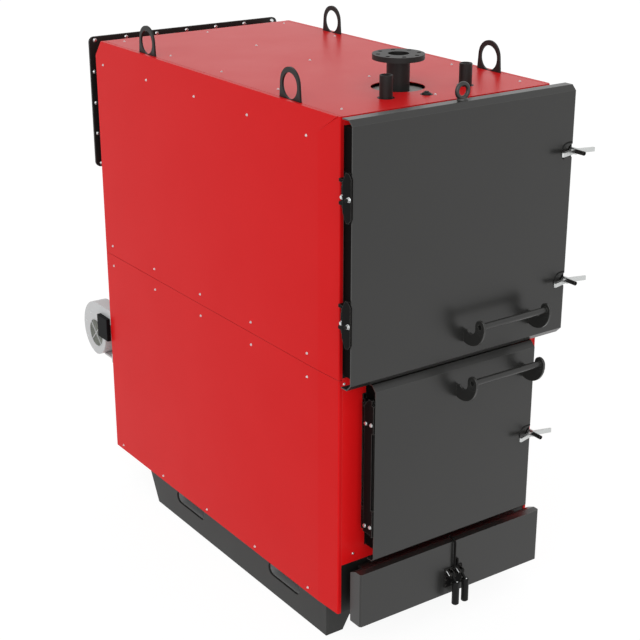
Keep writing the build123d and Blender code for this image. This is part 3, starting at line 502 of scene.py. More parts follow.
@dataclass(frozen=True)
class Metal:
    """Bare or plated metal: a mottled skin with fine scratches.

    Attributes:
        name: name of the material.
        colour: bright colour of the metal.
        dull: colour of its dull patches.
        roughness: middle roughness.
        spangle: size of the patches in millimetres.
        grit: size of the fine relief in millimetres, drawn as coarse as it needs to show.
        relief: strength of the fine relief.
        depth: depth of the fine relief in millimetres.
        swing: how far the roughness differs between patches, either way.
    """

    name: str
    colour: str
    dull: str
    roughness: float
    spangle: float = 6.0
    grit: float = 10.0 / 9.0
    relief: float = 0.08
    depth: float = 0.3
    swing: float = 0.06

    def material(self) -> bpy.types.Material:
        """Builds the metal's node tree on Object coordinates.

        Returns:
            The material.
        """
        made = blank(self.name)
        tree = made.node_tree
        place = add(tree, "ShaderNodeTexCoord").outputs["Object"]
        patch = add(
            tree, "ShaderNodeTexVoronoi", {"Vector": place, "Scale": 1 / (self.spangle * MM)}
        ).outputs["Color"]
        level = add(tree, "ShaderNodeSeparateColor", {0: patch}).outputs[0]
        skin = add(
            tree,
            "ShaderNodeMix",
            {"Factor": level, 6: linear(self.colour), 7: linear(self.dull)},
            data_type="RGBA",
        ).outputs[2]
        shine = add(
            tree,
            "ShaderNodeMapRange",
            {"Value": level, "To Min": self.roughness - self.swing, "To Max": self.roughness + self.swing},
        ).outputs[0]
        grain = add(
            tree, "ShaderNodeTexNoise", {"Vector": place, "Scale": 1 / (self.grit * MM), "Detail": 4.0}
        ).outputs["Fac"]
        bump = add(
            tree, "ShaderNodeBump", {"Strength": self.relief, "Distance": self.depth * MM, "Height": grain}
        ).outputs[0]
        shader = add(
            tree,
            "ShaderNodeBsdfPrincipled",
            {"Base Color": skin, "Metallic": 1.0, "Roughness": shine, "Normal": bump},
        )
        add(tree, "ShaderNodeOutputMaterial", {"Surface": shader.outputs[0]})
        return made


@dataclass(frozen=True)
class Braid:
    """Glass fibre rope packed into a seal: crossed strands, matt and pale.

    Attributes:
        name: name of the material.
        colour: colour of the strands.
        gap: colour of the gaps between them, darker as painted shade between the strands.
        strand: width of a strand in millimetres.
        bands: divides the wave texture's scale, whose bands repeat every 0.314 units,
            so that 6.3 makes a strand and a gap of the same width.
    """

    name: str
    colour: str
    gap: str
    strand: float = 3.0
    bands: float = 6.3

    def material(self) -> bpy.types.Material:
        """Builds the braid's node tree on Object coordinates.

        Returns:
            The material.
        """
        made = blank(self.name)
        tree = made.node_tree
        place = add(tree, "ShaderNodeTexCoord").outputs["Object"]
        waves = [
            add(
                tree,
                "ShaderNodeTexWave",
                {"Vector": place, "Scale": 1 / (self.strand * MM) / self.bands, "Distortion": 0.6},
                bands_direction=way,
            ).outputs["Fac"]
            for way in ("X", "Z", "DIAGONAL")
        ]
        cross = add(tree, "ShaderNodeMath", {0: waves[0], 1: waves[1]}, operation="MULTIPLY").outputs[0]
        weave = add(tree, "ShaderNodeMath", {0: cross, 1: waves[2]}, operation="MAXIMUM").outputs[0]
        # Painted shade: the gaps between the strands get the darker colour
        skin = add(
            tree,
            "ShaderNodeMix",
            {"Factor": weave, 6: linear(self.gap), 7: linear(self.colour)},
            data_type="RGBA",
        ).outputs[2]
        bump = add(tree, "ShaderNodeBump", {"Strength": 0.5, "Distance": 0.001, "Height": weave}).outputs[0]
        shader = add(
            tree, "ShaderNodeBsdfPrincipled", {"Base Color": skin, "Roughness": 0.95, "Normal": bump}
        )
        add(tree, "ShaderNodeOutputMaterial", {"Surface": shader.outputs[0]})
        return made


@dataclass(frozen=True)
class Finishes:
    """All the finishes of the boiler."""

    # Powder coat baked on sheet steel: an even satin red with a faint orange peel, and painted highlights along
    # its edges
    casing: Coat = Coat("casing_red_powder_coat", "#d21619", "#cd1316", "#d8403f", 0.34, specular=0.07)
    # The same coat on the roof, which mirrors more of the white surroundings; its red is a touch darker than the
    # sides' as painted shade for the weaker light on top
    roof: Coat = Coat("roof_red_powder_coat_painted_shade", "#cf1619", "#ca1316", "#d84c4a", 0.32, specular=0.10)
    # The same coat on the front panel, its red a touch brighter than the sides' as painted light that lifts the
    # doors' shade
    front: Coat = Coat("front_red_powder_coat_painted_light", "#db1618", "#d61316", "#dd4644", 0.34, specular=0.14)
    # Graphite powder coat on folded sheet: satin, with painted highlights along its folds
    doors: Coat = Coat("door_grey_powder_coat", "#242423", "#222221", "#585855", 0.32, rim=2.4, relief=0.08)
    # Graphite powder coat on thick plate: flatter than on the doors
    base: Coat = Coat(
        "base_grey_powder_coat", "#2e2e2d", "#2b2b2a", "#484745", 0.48, specular=0.25, relief=0.08
    )
    # Heat-proof black paint, sprayed on pipes and plates: a dull warm black
    body: Coat = Coat("boiler_black_paint", "#161514", "#141312", "#343230", 0.45, specular=0.3, relief=0.10)
    # The same paint on the door cores, darker and with hardly any shine: painted shade of the recess behind the
    # covers
    core: Coat = Coat(
        "door_core_black_paint_and_shade", "#0e0d0d", "#0c0b0b", "#242321", 0.55, specular=0.02, relief=0.10
    )
    # Black paint on cut plate, deepened as painted shade of the recess beside the doors, with paler rims as
    # painted highlights along its edges
    hinge: Coat = Coat("hinge_black_paint_and_shade", "#0c0b0b", "#0a0a0a", "#5a5856", 0.45, specular=0.04, rim=3.4)
    # Pressed mineral board and primed deck: a chalky pale grey
    jacket: Coat = Coat("body_primer_grey", "#9a9a97", "#8f8f8c", "#b0b0ad", 0.60, relief=0.10)
    # Galvanised sheet gone dull with age: an even mid grey
    lining: Coat = Coat("sleeve_galvanised_grey", "#8c8d8d", "#808182", "#a2a3a3", 0.50, relief=0.10)
    # Silver enamel on die-cast aluminium: pale satin
    fan: Coat = Coat("fan_silver_enamel", "#bfc1c2", "#b6b8b9", "#d8dadb", 0.32, relief=0.06)
    # Black paint on cast aluminium: matt
    motor: Coat = Coat(
        "motor_black_paint", "#0e0f10", "#0c0d0e", "#26282a", 0.42, specular=0.04, relief=0.08
    )
    # Dipped vinyl and moulded rubber: black with a soft sheen
    grip: Coat = Coat("grip_black_vinyl", "#0f0f0f", "#0c0c0c", "#242424", 0.42, specular=0.15, relief=0.04)
    # Sand-cast iron, bare: coarse brown-grey skin
    iron: Coat = Coat("grate_cast_iron", "#34302c", "#2a2724", "#4c4640", 0.72, peel=3.0, relief=0.4)
    # Bright zinc plate on steel screws: small clear glints
    zinc: Metal = Metal("bright_zinc_plate", "#e2e4e4", "#c9cccc", 0.30)
    # Hot-dip galvanised wire: dull greenish grey
    net: Metal = Metal("guard_galvanised_wire", "#9c9e97", "#8b8d87", 0.50, spangle=3.0)
    # Die-cast zinc, tumbled: satin silver
    wing: Metal = Metal("cast_zinc_wings", "#cccecd", "#c3c5c4", 0.36, spangle=2.5)
    # Braided glass fibre: pale, matt, with crossed strands and painted shade in the gaps between them
    rope: Braid = Braid("glass_fibre_rope", "#d8d4c8", "#8f8a7d")


# Sub-assemblies


@dataclass
class CasingScrews:
    """Hexagon washer screws that hold the casing's sheets.

    Attributes:
        side_x: how far the side faces stand from the middle.
        side_y: places of the screws along the sides.
        side_z: heights of the screws on the sides.
        roof_x: columns of the screws on the roof.
        roof_y: rows of the screws on the roof.
        roof_z: height of the roof.
        front: screws on the front panel, as (x, z).
        front_y: plane of the front panel.
        rear: screws on the rear panel, as (x, z).
        rear_y: plane of the rear panel.
    """

    side_x: float = 500.0
    side_y: tuple[float, ...] = (-735.0, -335.0, 65.0, 465.0, 865.0)
    side_z: tuple[float, ...] = (182.5, 1112.0, 1209.0, 2054.0)
    roof_x: tuple[float, ...] = (-420.0, 6.0, 425.0)
    roof_y: tuple[float, ...] = (-840.0, -431.0, -22.0, 390.0, 805.0)
    roof_z: float = 2158.0
    front: tuple[tuple[float, float], ...] = (
        (-422.0, 410.0), (422.0, 410.0), (-470.0, 1146.0), (470.0, 1146.0),
    )
    front_y: float = -935.0
    rear: tuple[tuple[float, float], ...] = (
        (-455.0, 190.0), (-150.0, 190.0), (150.0, 190.0), (455.0, 190.0),
        (-455.0, 860.0), (455.0, 860.0), (-455.0, 1530.0), (455.0, 1530.0),
    )
    rear_y: float = 932.5

    def head(self) -> Solid:
        """A screw head on its washer, 11 mm wide and 5 mm high."""
        flange = lathe(((0, 0), (5.6, 0), (5.6, 0.6), (4.6, 1.3), (0, 1.3)), 16)
        return joined((flange, hexagon(7.0, 3.4).raised(1.2)))

    def build(self, finishes: Materials) -> None:
        """Makes the screws of the sides, the roof, the front and the rear.

        Args:
            finishes: the materials by their names in Finishes.
        """
        head = self.head()
        sides = [(y, z) for y in self.side_y for z in self.side_z]
        groups = {
            "side_screws_left": head.moved([(-self.side_x, y, z) for y, z in sides], Facing.LEFT),
            "side_screws_right": head.moved([(self.side_x, y, z) for y, z in sides], Facing.RIGHT),
            "roof_screws": head.moved([(x, y, self.roof_z) for x in self.roof_x for y in self.roof_y]),
            "front_screws": head.moved([(x, self.front_y, z) for x, z in self.front], Facing.FRONT),
            "rear_screws": head.moved([(x, self.rear_y, z) for x, z in self.rear], Facing.REAR),
        }
        for name, solid in groups.items():
            make_piece(name, [solid], finishes["zinc"], "boiler")


@dataclass
class HingeBolts:
    """Hexagon bolts on the door hinges. Those of the lower strip are flat, to clear the casing.

    Attributes:
        plates: places of the bolts on the upper hinges' plates.
        webs: places of the bolts on the upper hinges' webs.
        fronts: places of the front bolts on the lower strip.
        backs: places of its rear bolts.
    """

    plates: tuple[Point, ...] = ((-531.0, -1041.5, 1891.5), (-531.0, -1041.5, 1420.5))
    webs: tuple[Point, ...] = ((-524.0, -992.0, 1889.0), (-524.0, -992.0, 1418.0))
    fronts: tuple[Point, ...] = ((-412.0, -1029.0, 996.0), (-412.0, -1029.0, 564.0))
    backs: tuple[Point, ...] = ((-412.0, -994.5, 992.0), (-412.0, -994.5, 558.0))

    def build(self, finishes: Materials) -> None:
        """Makes the bolts of both doors.

        Args:
            finishes: the materials by their names in Finishes.
        """
        large = bolt_head(15.0, 6.0, 5.3, 10.0, 1.6).moved(self.plates, Facing.LEFT)
        small = bolt_head(13.0, 6.0, 4.0, 9.0, 1.6).moved(self.webs, Facing.LEFT)
        make_piece("upper_hinge_bolts", [large, small], finishes["zinc"], "upper_door")
        flat = bolt_head(13.0, 3.6, 4.0, 8.0, 1.0)
        strip = [flat.moved(self.fronts, Facing.LEFT), flat.moved(self.backs, Facing.LEFT)]
        make_piece("lower_hinge_bolts", strip, finishes["zinc"], "lower_door")


@dataclass
class ClampStuds:
    """Threaded ends of the studs that carry the wing nuts.

    Attributes:
        radius: radius over the thread.
        depth: depth of the thread.
        pitch: pitch of the thread, M16's 2 mm drawn a little coarser to show.
        reach: length of thread that is drawn, from the stud's tip backwards.
        cap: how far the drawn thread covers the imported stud's tip.
        studs: name, body, x, z and the tip's y of each stud.
    """

    radius: float = 8.4
    depth: float = 0.9
    pitch: float = 2.5
    reach: float = 44.0
    cap: float = 0.4
    studs: tuple[tuple[str, str, float, float, float], ...] = (
        ("upper_low", "upper_door", 522.0, 1392.0, -1112.0),
        ("upper_high", "upper_door", 522.0, 1916.0, -1112.0),
        ("lower", "lower_door", 390.0, 756.0, -1106.0),
    )

    def build(self, finishes: Materials) -> None:
        """Makes a thread round the free end of each stud.

        Args:
            finishes: the materials by their names in Finishes.
        """
        bar = thread(self.radius, self.depth, self.pitch, self.reach)
        for name, body, x, z, tip in self.studs:
            end = bar.moved([(x, tip + self.reach - self.cap, z)], Facing.FRONT)
            make_piece("stud_thread_" + name, [end], finishes["hinge"], body, soft=50.0)


@dataclass
class StudShadowBeads:
    """Black beads in the covers' free edges, round the clamp studs: painted shadow along each notch's upper edge
    and round its end.

    Attributes:
        shaded_notches: name, body, x of the free edge, height of the stud and face of each cover.
        reach: how far the bead's straight part runs in from the free edge.
        radius: radius of its round end.
        arc: first and last angle of the round end, in degrees from the free edge's side.
        bead: radius of the black bead that paints the shadow.
        sunk: how far behind the face the bead's middle lies.
    """

    shaded_notches: tuple[tuple[str, str, float, float, float], ...] = (
        ("upper_low", "upper_door", 521.0, 1392.0, -1047.0),
        ("upper_high", "upper_door", 521.0, 1916.0, -1047.0),
        ("lower", "lower_door", 389.0, 756.0, -1041.0),
    )
    reach: float = 22.0
    radius: float = 33.0
    arc: tuple[float, float] = (90.0, 236.0)
    bead: float = 3.8
    sunk: float = 1.2

    def build(self, finishes: Materials) -> None:
        """Makes a bead along the upper edge and round the end of each notch.

        Args:
            finishes: the materials by their names in Finishes.
        """
        turn = np.radians(np.linspace(*self.arc, 18))
        for name, body, edge, z, face in self.shaded_notches:
            middle = edge - self.reach
            x = np.hstack((edge - 1.0, edge - self.reach / 2, middle + self.radius * np.cos(turn)))
            height = np.hstack((self.radius, self.radius, self.radius * np.sin(turn))) + z
            line = np.stack((x, np.full(len(x), face + self.sunk), height), -1)
            bead = tube(line, (0, 1, 0), self.bead, 10)
            # Painted shadow: a black bead where the notch's edge shades the recessed plate
            make_piece("stud_shadow_bead_" + name, [bead], finishes["grip"], body, soft=60.0)


@dataclass
class DoorHandles:
    """Tube handles between two hook-shaped plates.

    Heights count from the tube's axis and depths from the cover's face, forwards negative.

    Attributes:
        handles: name, body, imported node, first plate's x, span, face and tube height of each handle.
        half: half of the plates' thickness.
        bevel: width of the bevel round the plates.
        tube: outer radius and bore of the tube.
        tube_y: depth of the tube's axis.
        head: radius of the plates' heads.
        flare: how much wider a head may get below the tube, where it runs into the hook.
        back: depth, height and radius of the plates' outer curve.
        back_end: where the outer curve ends at the head, in degrees.
        notch: depth, height and radius of the plates' inner curve.
        notch_arc: first and last angle of the inner curve, in degrees.
        root_top: height of the plates' upper edge on the cover.
    """

    handles: tuple[tuple[str, str, str, float, float, float, float], ...] = (
        ("upper_handle", "upper_door", "upper_door_handle", 13.0, 333.0, -1047.0, 1328.0),
        ("lower_handle", "lower_door", "lower_door_handle", -8.0, 344.0, -1041.0, 1103.0),
    )
    half: float = 4.5
    bevel: float = 0.8
    tube: tuple[float, float] = (12.5, 10.0)
    tube_y: float = -90.0
    head: float = 25.9
    flare: float = 1.2
    back: tuple[float, float, float] = (-31.0, -5.0, 84.9)
    back_end: float = -172.0
    notch: tuple[float, float, float] = (-40.0, -17.0, 24.0)
    notch_arc: tuple[float, float] = (-32.0, -180.0)
    root_top: float = -34.0

    def hook(self) -> Solid:
        """The plate's hook up to its head.

        Outer points are the back's centre plus its radius times (cos t, sin t), from the cover
        round to the front; inner points run along the root's top and round the notch.

        Returns:
            The hook as a strip of sections across the plate, in the tube's plane x = 0.
        """
        root, bend = 6, 24
        count = root + bend
        y, z, r = self.back
        turn = np.linspace(-math.acos(-y / r), math.radians(self.back_end), count)
        outer = np.stack((y + r * np.cos(turn), z + r * np.sin(turn)), -1)
        y, z, r = self.notch
        turn = np.linspace(*np.radians(self.notch_arc), bend)
        round_part = np.stack((y + r * np.cos(turn), z + r * np.sin(turn)), -1)
        share = np.linspace(0.0, 1.0, root + 1)[:-1, None]
        inner = np.vstack((np.array((0.0, self.root_top)) * (1 - share) + round_part[0] * share, round_part))
        across = inner - outer
        step = self.bevel * across / np.linalg.norm(across, axis=1, keepdims=True)
        side, edge = self.half, self.half - self.bevel
        loop = (
            (outer, -edge), (outer + step, -side), (inner - step, -side), (inner, -edge),
            (inner, edge), (inner - step, side), (outer + step, side), (outer, edge),
        )
        rows = np.stack([np.column_stack((np.full(count, x), line)) for line, x in loop], 1)
        caps = np.array(((0, 1, 2, 3), (0, 3, 4, 7), (4, 5, 6, 7)))
        last = (count - 1) * len(loop)
        faces = np.vstack((grid_faces(count, len(loop), False, True), caps, caps[:, ::-1] + last))
        return Solid(rows.reshape(-1, 3), faces)

    def ring(self) -> Solid:
        """The plate's head round the tube.

        Its radius at angle t is the head's radius over the absolute cosine below the axis, up to
        the flare times the head's radius, and the head's radius above it.

        Returns:
            The ring, a little thicker than the hook.
        """
        steps, proud, bore = 48, 0.15, self.tube[1]
        turn = np.arange(steps) * 2 * np.pi / steps
        wide = np.minimum(self.head / np.maximum(np.abs(np.cos(turn)), 0.1), self.flare * self.head)
        reach = np.where(np.sin(turn) < 0, wide, self.head)
        side, edge, inset = self.half + proud, self.half + proud - self.bevel, reach - self.bevel
        loop = ((reach, -edge), (inset, -side), (bore, -side), (bore, side), (inset, side), (reach, edge))
        rows = [
            np.stack((np.full(steps, x), self.tube_y + r * np.cos(turn), r * np.sin(turn)), -1)
            for r, x in loop
        ]
        return Solid(np.stack(rows, 1).reshape(-1, 3), grid_faces(steps, len(loop), True, True))

    def build(self, finishes: Materials) -> None:
        """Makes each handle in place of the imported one.

        Args:
            finishes: the materials by their names in Finishes.
        """
        outer, bore = self.tube
        for name, body, node, first, span, face, height in self.handles:
            ends = [(first, face, height), (first + span, face, height)]
            plates = joined((self.hook(), self.ring())).moved(ends)
            long = span + 2 * self.half
            pipe = lathe(((bore, 0), (outer, 0), (outer, long), (bore, long)), 32, ring=True).moved(
                [(first - self.half, face + self.tube_y, height)], Facing.RIGHT
            )
            piece = make_piece(name, [plates, pipe], finishes["doors"], body, soft=30.0)
            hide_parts(node)


@dataclass
class DoorSeals:
    """Rope seals in the channels behind the door cores.

    Attributes:
        depth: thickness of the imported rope.
        spread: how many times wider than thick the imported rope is.
        corner: radius of the loops' corners.
        loops: name, body, half width, lowest and highest edge of each loop.
        face: plane of the cores' backs.
        sunk: how far the rope is pressed into its channel.
    """

    depth: float = 5.6
    spread: float = 3.0
    corner: float = 30.0
    loops: tuple[tuple[str, str, float, float, float], ...] = (
        ("upper_door_seal", "upper_door", 405.0, 1192.0, 2072.0),
        ("lower_door_seal", "lower_door", 338.0, 452.0, 1118.0),
    )
    face: float = -941.0
    sunk: float = 0.2

    def path(self, half_x: float, low: float, high: float, y: float) -> np.ndarray:
        """A rectangle with rounded corners.

        The corner points are centre plus r (cos t, sin t) over each quarter turn.

        Args:
            half_x: half of the loop's width.
            low: its lowest edge.
            high: its highest edge.
            y: the plane of the loop.

        Returns:
            The loop's points.
        """
        r = self.corner
        right, left, top, foot = half_x - r, r - half_x, high - r, low + r
        centres = np.array(((right, top), (left, top), (left, foot), (right, foot)))[:, None]
        turn = np.linspace(0, np.pi / 2, 7) + np.arange(4)[:, None] * np.pi / 2
        flat = centres + r * np.stack((np.cos(turn), np.sin(turn)), -1)
        return np.stack((flat[..., 0], np.full(turn.shape, y), flat[..., 1]), -1).reshape(-1, 3)

    def build(self, finishes: Materials) -> None:
        """Makes a rope loop for each door: a round rope, spread in the plane of the door.

        Args:
            finishes: the materials by their names in Finishes.
        """
        sides = 12
        for name, body, half_x, low, high in self.loops:
            line = self.path(half_x, low, high, self.face + self.depth / 2 - self.sunk)
            rope = tube(line, (0, 1, 0), self.depth / 2, sides, closed=True)
            centre = np.repeat(line, sides, axis=0)
            wide = centre + (rope.corners - centre) * (self.spread, 1.0, self.spread)
            make_piece(name, [Solid(wide, rope.faces)], finishes["rope"], body)


@dataclass
class RoofFittings:
    """Welds, threads, insulation and rubber cuffs of the roof's pipe, sockets and pocket.

    Attributes:
        pipe: plan place of the supply pipe.
        pipe_radius: its radius.
        flange_low: height of the underside of its flange.
        plate_top: height of the plate that the pipe stands on.
        body_top: height of the body's deck.
        roof_z: height of the roof.
        sockets: plan places of the sockets.
        socket_radius: outer radius of the sockets.
        socket_bore: their bore.
        socket_top: height of their ends.
        socket_turns: depth, pitch and length of the thread in the sockets.
        pocket: plan place of the sensor pocket.
        pocket_top: height at which the pocket's nut sits.
        board: section of the insulation round the pipe, as (radius, height).
        socket_cuff: inner radius, outer radius and thickness of the sockets' rubber cuffs.
        pocket_cuff: the same of the pocket's cuff.
    """

    pipe: tuple[float, float] = (-17.0, -644.0)
    pipe_radius: float = 44.45
    flange_low: float = 2264.0
    plate_top: float = 2126.0
    body_top: float = 2118.0
    roof_z: float = 2158.0
    sockets: tuple[tuple[float, float], ...] = ((-176.0, -778.0), (210.0, -769.0))
    socket_radius: float = 25.0
    socket_bore: float = 19.0
    socket_top: float = 2243.0
    socket_turns: tuple[float, float, float] = (1.2, 2.3, 40.0)
    pocket: tuple[float, float] = (-15.0, -815.0)
    pocket_top: float = 2164.0
    board: Profile = ((57.0, 0.0), (103.0, 0.0), (103.0, 17.0), (44.8, 17.0), (44.8, 15.0), (57.0, 15.0))
    socket_cuff: tuple[float, float, float] = (25.2, 32.5, 0.8)
    pocket_cuff: tuple[float, float, float] = (17.8, 24.0, 0.8)

    def socket_thread(self) -> Solid:
        """The turns inside a socket, with the bore as a thin sleeve round them.

        The sleeve repeats the thread's corners, its radii 1.06 times as large.

        Returns:
            The threaded sleeve, without its end caps, from the local origin upwards.
        """
        steps = 24
        turns = thread(self.socket_bore, *self.socket_turns, steps)
        faces = grid_faces(len(turns.corners) // steps - 2, steps, False, True)
        inner = turns.corners[steps:-steps]
        return joined((Solid(inner, faces), Solid(inner * (1.06, 1.06, 1.0), faces[:, ::-1])))

    def build(self, finishes: Materials) -> None:
        """Makes the welds, the socket threads, the insulation, the cuffs and the pocket's nut.

        Args:
            finishes: the materials by their names in Finishes.
        """
        black = finishes["body"]
        bead = weld_ring(self.pipe_radius, 6.0, 0.8)
        under = bead.moved([(*self.pipe, self.flange_low)], Facing.DOWN)
        foot = bead.moved([(*self.pipe, self.plate_top)])
        feet = weld_ring(self.socket_radius, 5.0, 0.7, 64).moved([(*spot, self.body_top) for spot in self.sockets])
        make_piece("roof_welds", [under, foot, feet], black, "boiler", soft=60.0)
        low = self.socket_top - self.socket_turns[2] - 1.0
        turns = self.socket_thread().moved([(*spot, low) for spot in self.sockets])
        make_piece("socket_threads", [turns], black, "boiler", soft=60.0)
        board = lathe(self.board, 64, ring=True).moved([(*self.pipe, self.plate_top)])
        make_piece("roof_insulation", [board], finishes["jacket"], "boiler")
        cuffs = washer(*self.socket_cuff).moved([(*spot, self.roof_z) for spot in self.sockets])
        collar = washer(*self.pocket_cuff).moved([(*self.pocket, self.roof_z)])
        make_piece("roof_cuffs", [cuffs, collar], finishes["grip"], "boiler")
        nut = hexagon(16.0, 6.0, 1.0).moved([(*self.pocket, self.pocket_top)])
        make_piece("pocket_screw", [nut], black, "boiler")


@dataclass
class EyeBolt:
    """Forged eye bolt on top of the upper door.

    Attributes:
        centre: middle of the ring.
        ring: radius of the ring's centre line.
        wire: radius of its section.
        seat: height of the cover that the collar sits on.
        collar: section of the collar, as (radius, height).
    """

    centre: Point = (-2.0, -1003.0, 2202.0)
    ring: float = 26.0
    wire: float = 8.0
    seat: float = 2168.0
    collar: Profile = ((0, 0), (20.0, 0), (20.0, 6.4), (18.6, 8.0), (13.0, 9.5), (10.5, 13.0), (0, 13.0))

    def build(self, finishes: Materials) -> None:
        """Makes the ring and its collar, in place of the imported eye.

        Args:
            finishes: the materials by their names in Finishes.
        """
        turn = np.linspace(0, 2 * np.pi, 25)[:-1]
        section = np.stack((self.ring + self.wire * np.cos(turn), self.wire * np.sin(turn)), -1)
        ring = lathe(section, 64, ring=True).moved([self.centre], Facing.FRONT)
        collar = lathe(self.collar, 40).moved([(*self.centre[:2], self.seat)])
        piece = make_piece("eye_bolt", [ring, collar], finishes["doors"], "upper_door", soft=50.0)
        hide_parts("lifting_eye")


@dataclass
class SlotLiners:
    """Thin grey linings in the sleeves behind the slots of the skid base.

    Attributes:
        start_x: inner face of the base's side plates.
        depth: depth of the sleeves.
        height: height of the slots' middle.
        width: width of the slots.
        slots: middle and length of each slot along the side.
        gap: how far the lining stands off the slot's edge.
        sheet: thickness of the lining.
    """

    start_x: float = 470.0
    depth: float = 99.0
    height: float = 114.0
    width: float = 60.0
    slots: tuple[tuple[float, float], ...] = ((-527.0, 238.0), (252.0, 250.0))
    gap: float = 0.2
    sheet: float = 1.2

    def lining(self, length: float) -> Solid:
        """An open sleeve with round ends, standing on the local origin.

        A point of an end is the end's centre plus the radius times (cos t, sin t).

        Args:
            length: overall length of the slot.

        Returns:
            The sleeve, with its length along the local first axis.
        """
        turn = np.linspace(-np.pi / 2, np.pi / 2, 17)
        reach = (length - self.width) / 2
        rows = []
        outer, inner = self.gap, self.gap + self.sheet
        for inset, height in ((outer, 0.0), (outer, self.depth), (inner, self.depth), (inner, 0.0)):
            radius = self.width / 2 - inset
            right = np.stack((reach + radius * np.cos(turn), radius * np.sin(turn)), -1)
            outline = np.vstack((right, right[::-1] * (-1, 1)))
            rows.append(np.column_stack((outline, np.full(len(outline), height))))
        return Solid(np.vstack(rows), grid_faces(4, len(rows[0]), True, True))

    def build(self, finishes: Materials) -> None:
        """Makes the linings of both sides.

        Args:
            finishes: the materials by their names in Finishes.
        """
        solids = []
        for side, facing in ((-1, Facing.RIGHT), (1, Facing.LEFT)):
            for y, length in self.slots:
                solids.append(self.lining(length).moved([(side * self.start_x, y, self.height)], facing))
        make_piece("slot_liners", solids, finishes["lining"], "boiler")


@dataclass
class SmokeBoxBolts:
    """Bolts through the smoke box flange and its cover.

    Attributes:
        front_y: front face of the flange.
        rear_y: rear face of the cover.
        top_z: height of the top row.
        low_z: height of the bottom row.
        pitch: pitch along the top and the bottom.
        count: bolts in the top and bottom rows.
        side_x: how far the side columns stand from the middle.
        rise: pitch down the sides.
    """

    front_y: float = 988.0
    rear_y: float = 1006.0
    top_z: float = 2144.0
    low_z: float = 1577.0
    pitch: float = 158.0
    count: int = 7
    side_x: float = 484.0
    rise: float = 141.75

    def build(self, finishes: Materials) -> None:
        """Makes the bolt heads in front and the nuts with their thread ends behind.

        Args:
            finishes: the materials by their names in Finishes.
        """
        half = self.pitch * (self.count - 1) / 2
        row = [self.pitch * i - half for i in range(self.count)]
        spots = [(x, z) for x in row for z in (self.low_z, self.top_z)]
        spots += [(x, self.low_z + self.rise * i) for x in (-self.side_x, self.side_x) for i in range(1, 4)]
        head = bolt_head(13.0, 5.5, 4.5, 9.0, 1.6)
        nut = joined((head, thread(4.0, 0.5, 1.25, 9.0, 12).raised(1.0)))
        fronts = head.moved([(x, self.front_y, z) for x, z in spots], Facing.FRONT)
        backs = nut.moved([(x, self.rear_y, z) for x, z in spots], Facing.REAR)
        make_piece("smoke_box_bolts", [fronts, backs], finishes["zinc"], "boiler")


@dataclass
class DrawerClamps:
    """Links, caps and screws of the two toggle clamps.

    Attributes:
        levers: name, body and x of each lever.
        axis_y: y of the levers' pins.
        axis_z: height of the levers' pins.
        plate_y: face of the clamps' plate.
        grip: x from the lever's middle, y and height of the caps' seats on the grips.
        link: x of a link from the lever's middle, and its radius.
        screw_x: how far the plate's screws stand from a lever's middle.
        screw_z: how far they stand below the pins.
    """

    levers: tuple[tuple[str, str, float], ...] = (
        ("left", "toggle_left", -22.0),
        ("right", "toggle_right", 27.0),
    )
    axis_y: float = -1066.0
    axis_z: float = 243.0
    plate_y: float = -1050.0
    grip: Point = (3.0, -1097.0, 221.7)
    link: tuple[float, float] = (-14.0, 2.8)
    screw_x: tuple[float, ...] = (-14.0, 14.0)
    screw_z: tuple[float, ...] = (30.0, 55.0)

    def build(self, finishes: Materials) -> None:
        """Makes the bright links beside the ears, the caps on the grips and the plate's screws.

        Args:
            finishes: the materials by their names in Finishes.
        """
        dome = lathe(((0, 0), (4.0, 0), (3.4, 1.2), (2.0, 2.0), (0, 2.3)), 14)
        cap = lathe(((0, 0), (4.6, 0), (4.6, 1.0), (3.8, 2.2), (0, 2.8)), 16)
        links, screws = [], []
        aside, radius = self.link
        run = np.array(
            ((0.0, self.plate_y + 1.0, 10.0), (0.0, self.axis_y + 8.0, 6.0), (0.0, self.axis_y - 4.0, -2.0))
        )
        for name, body, x in self.levers:
            top = cap.moved([(x + self.grip[0], *self.grip[1:])])
            make_piece("grip_cap_" + name, [top], finishes["zinc"], body)
            links.append(tube(run + (x + aside, 0.0, self.axis_z), (1, 0, 0), radius, 10))
            screws += [(x + dx, self.plate_y, self.axis_z - dz) for dx in self.screw_x for dz in self.screw_z]
        make_piece("toggle_links", links, finishes["zinc"], "ash_drawer", soft=60.0)
        plate = dome.moved(screws, Facing.FRONT)
        make_piece("toggle_screws", [plate], finishes["hinge"], "ash_drawer")


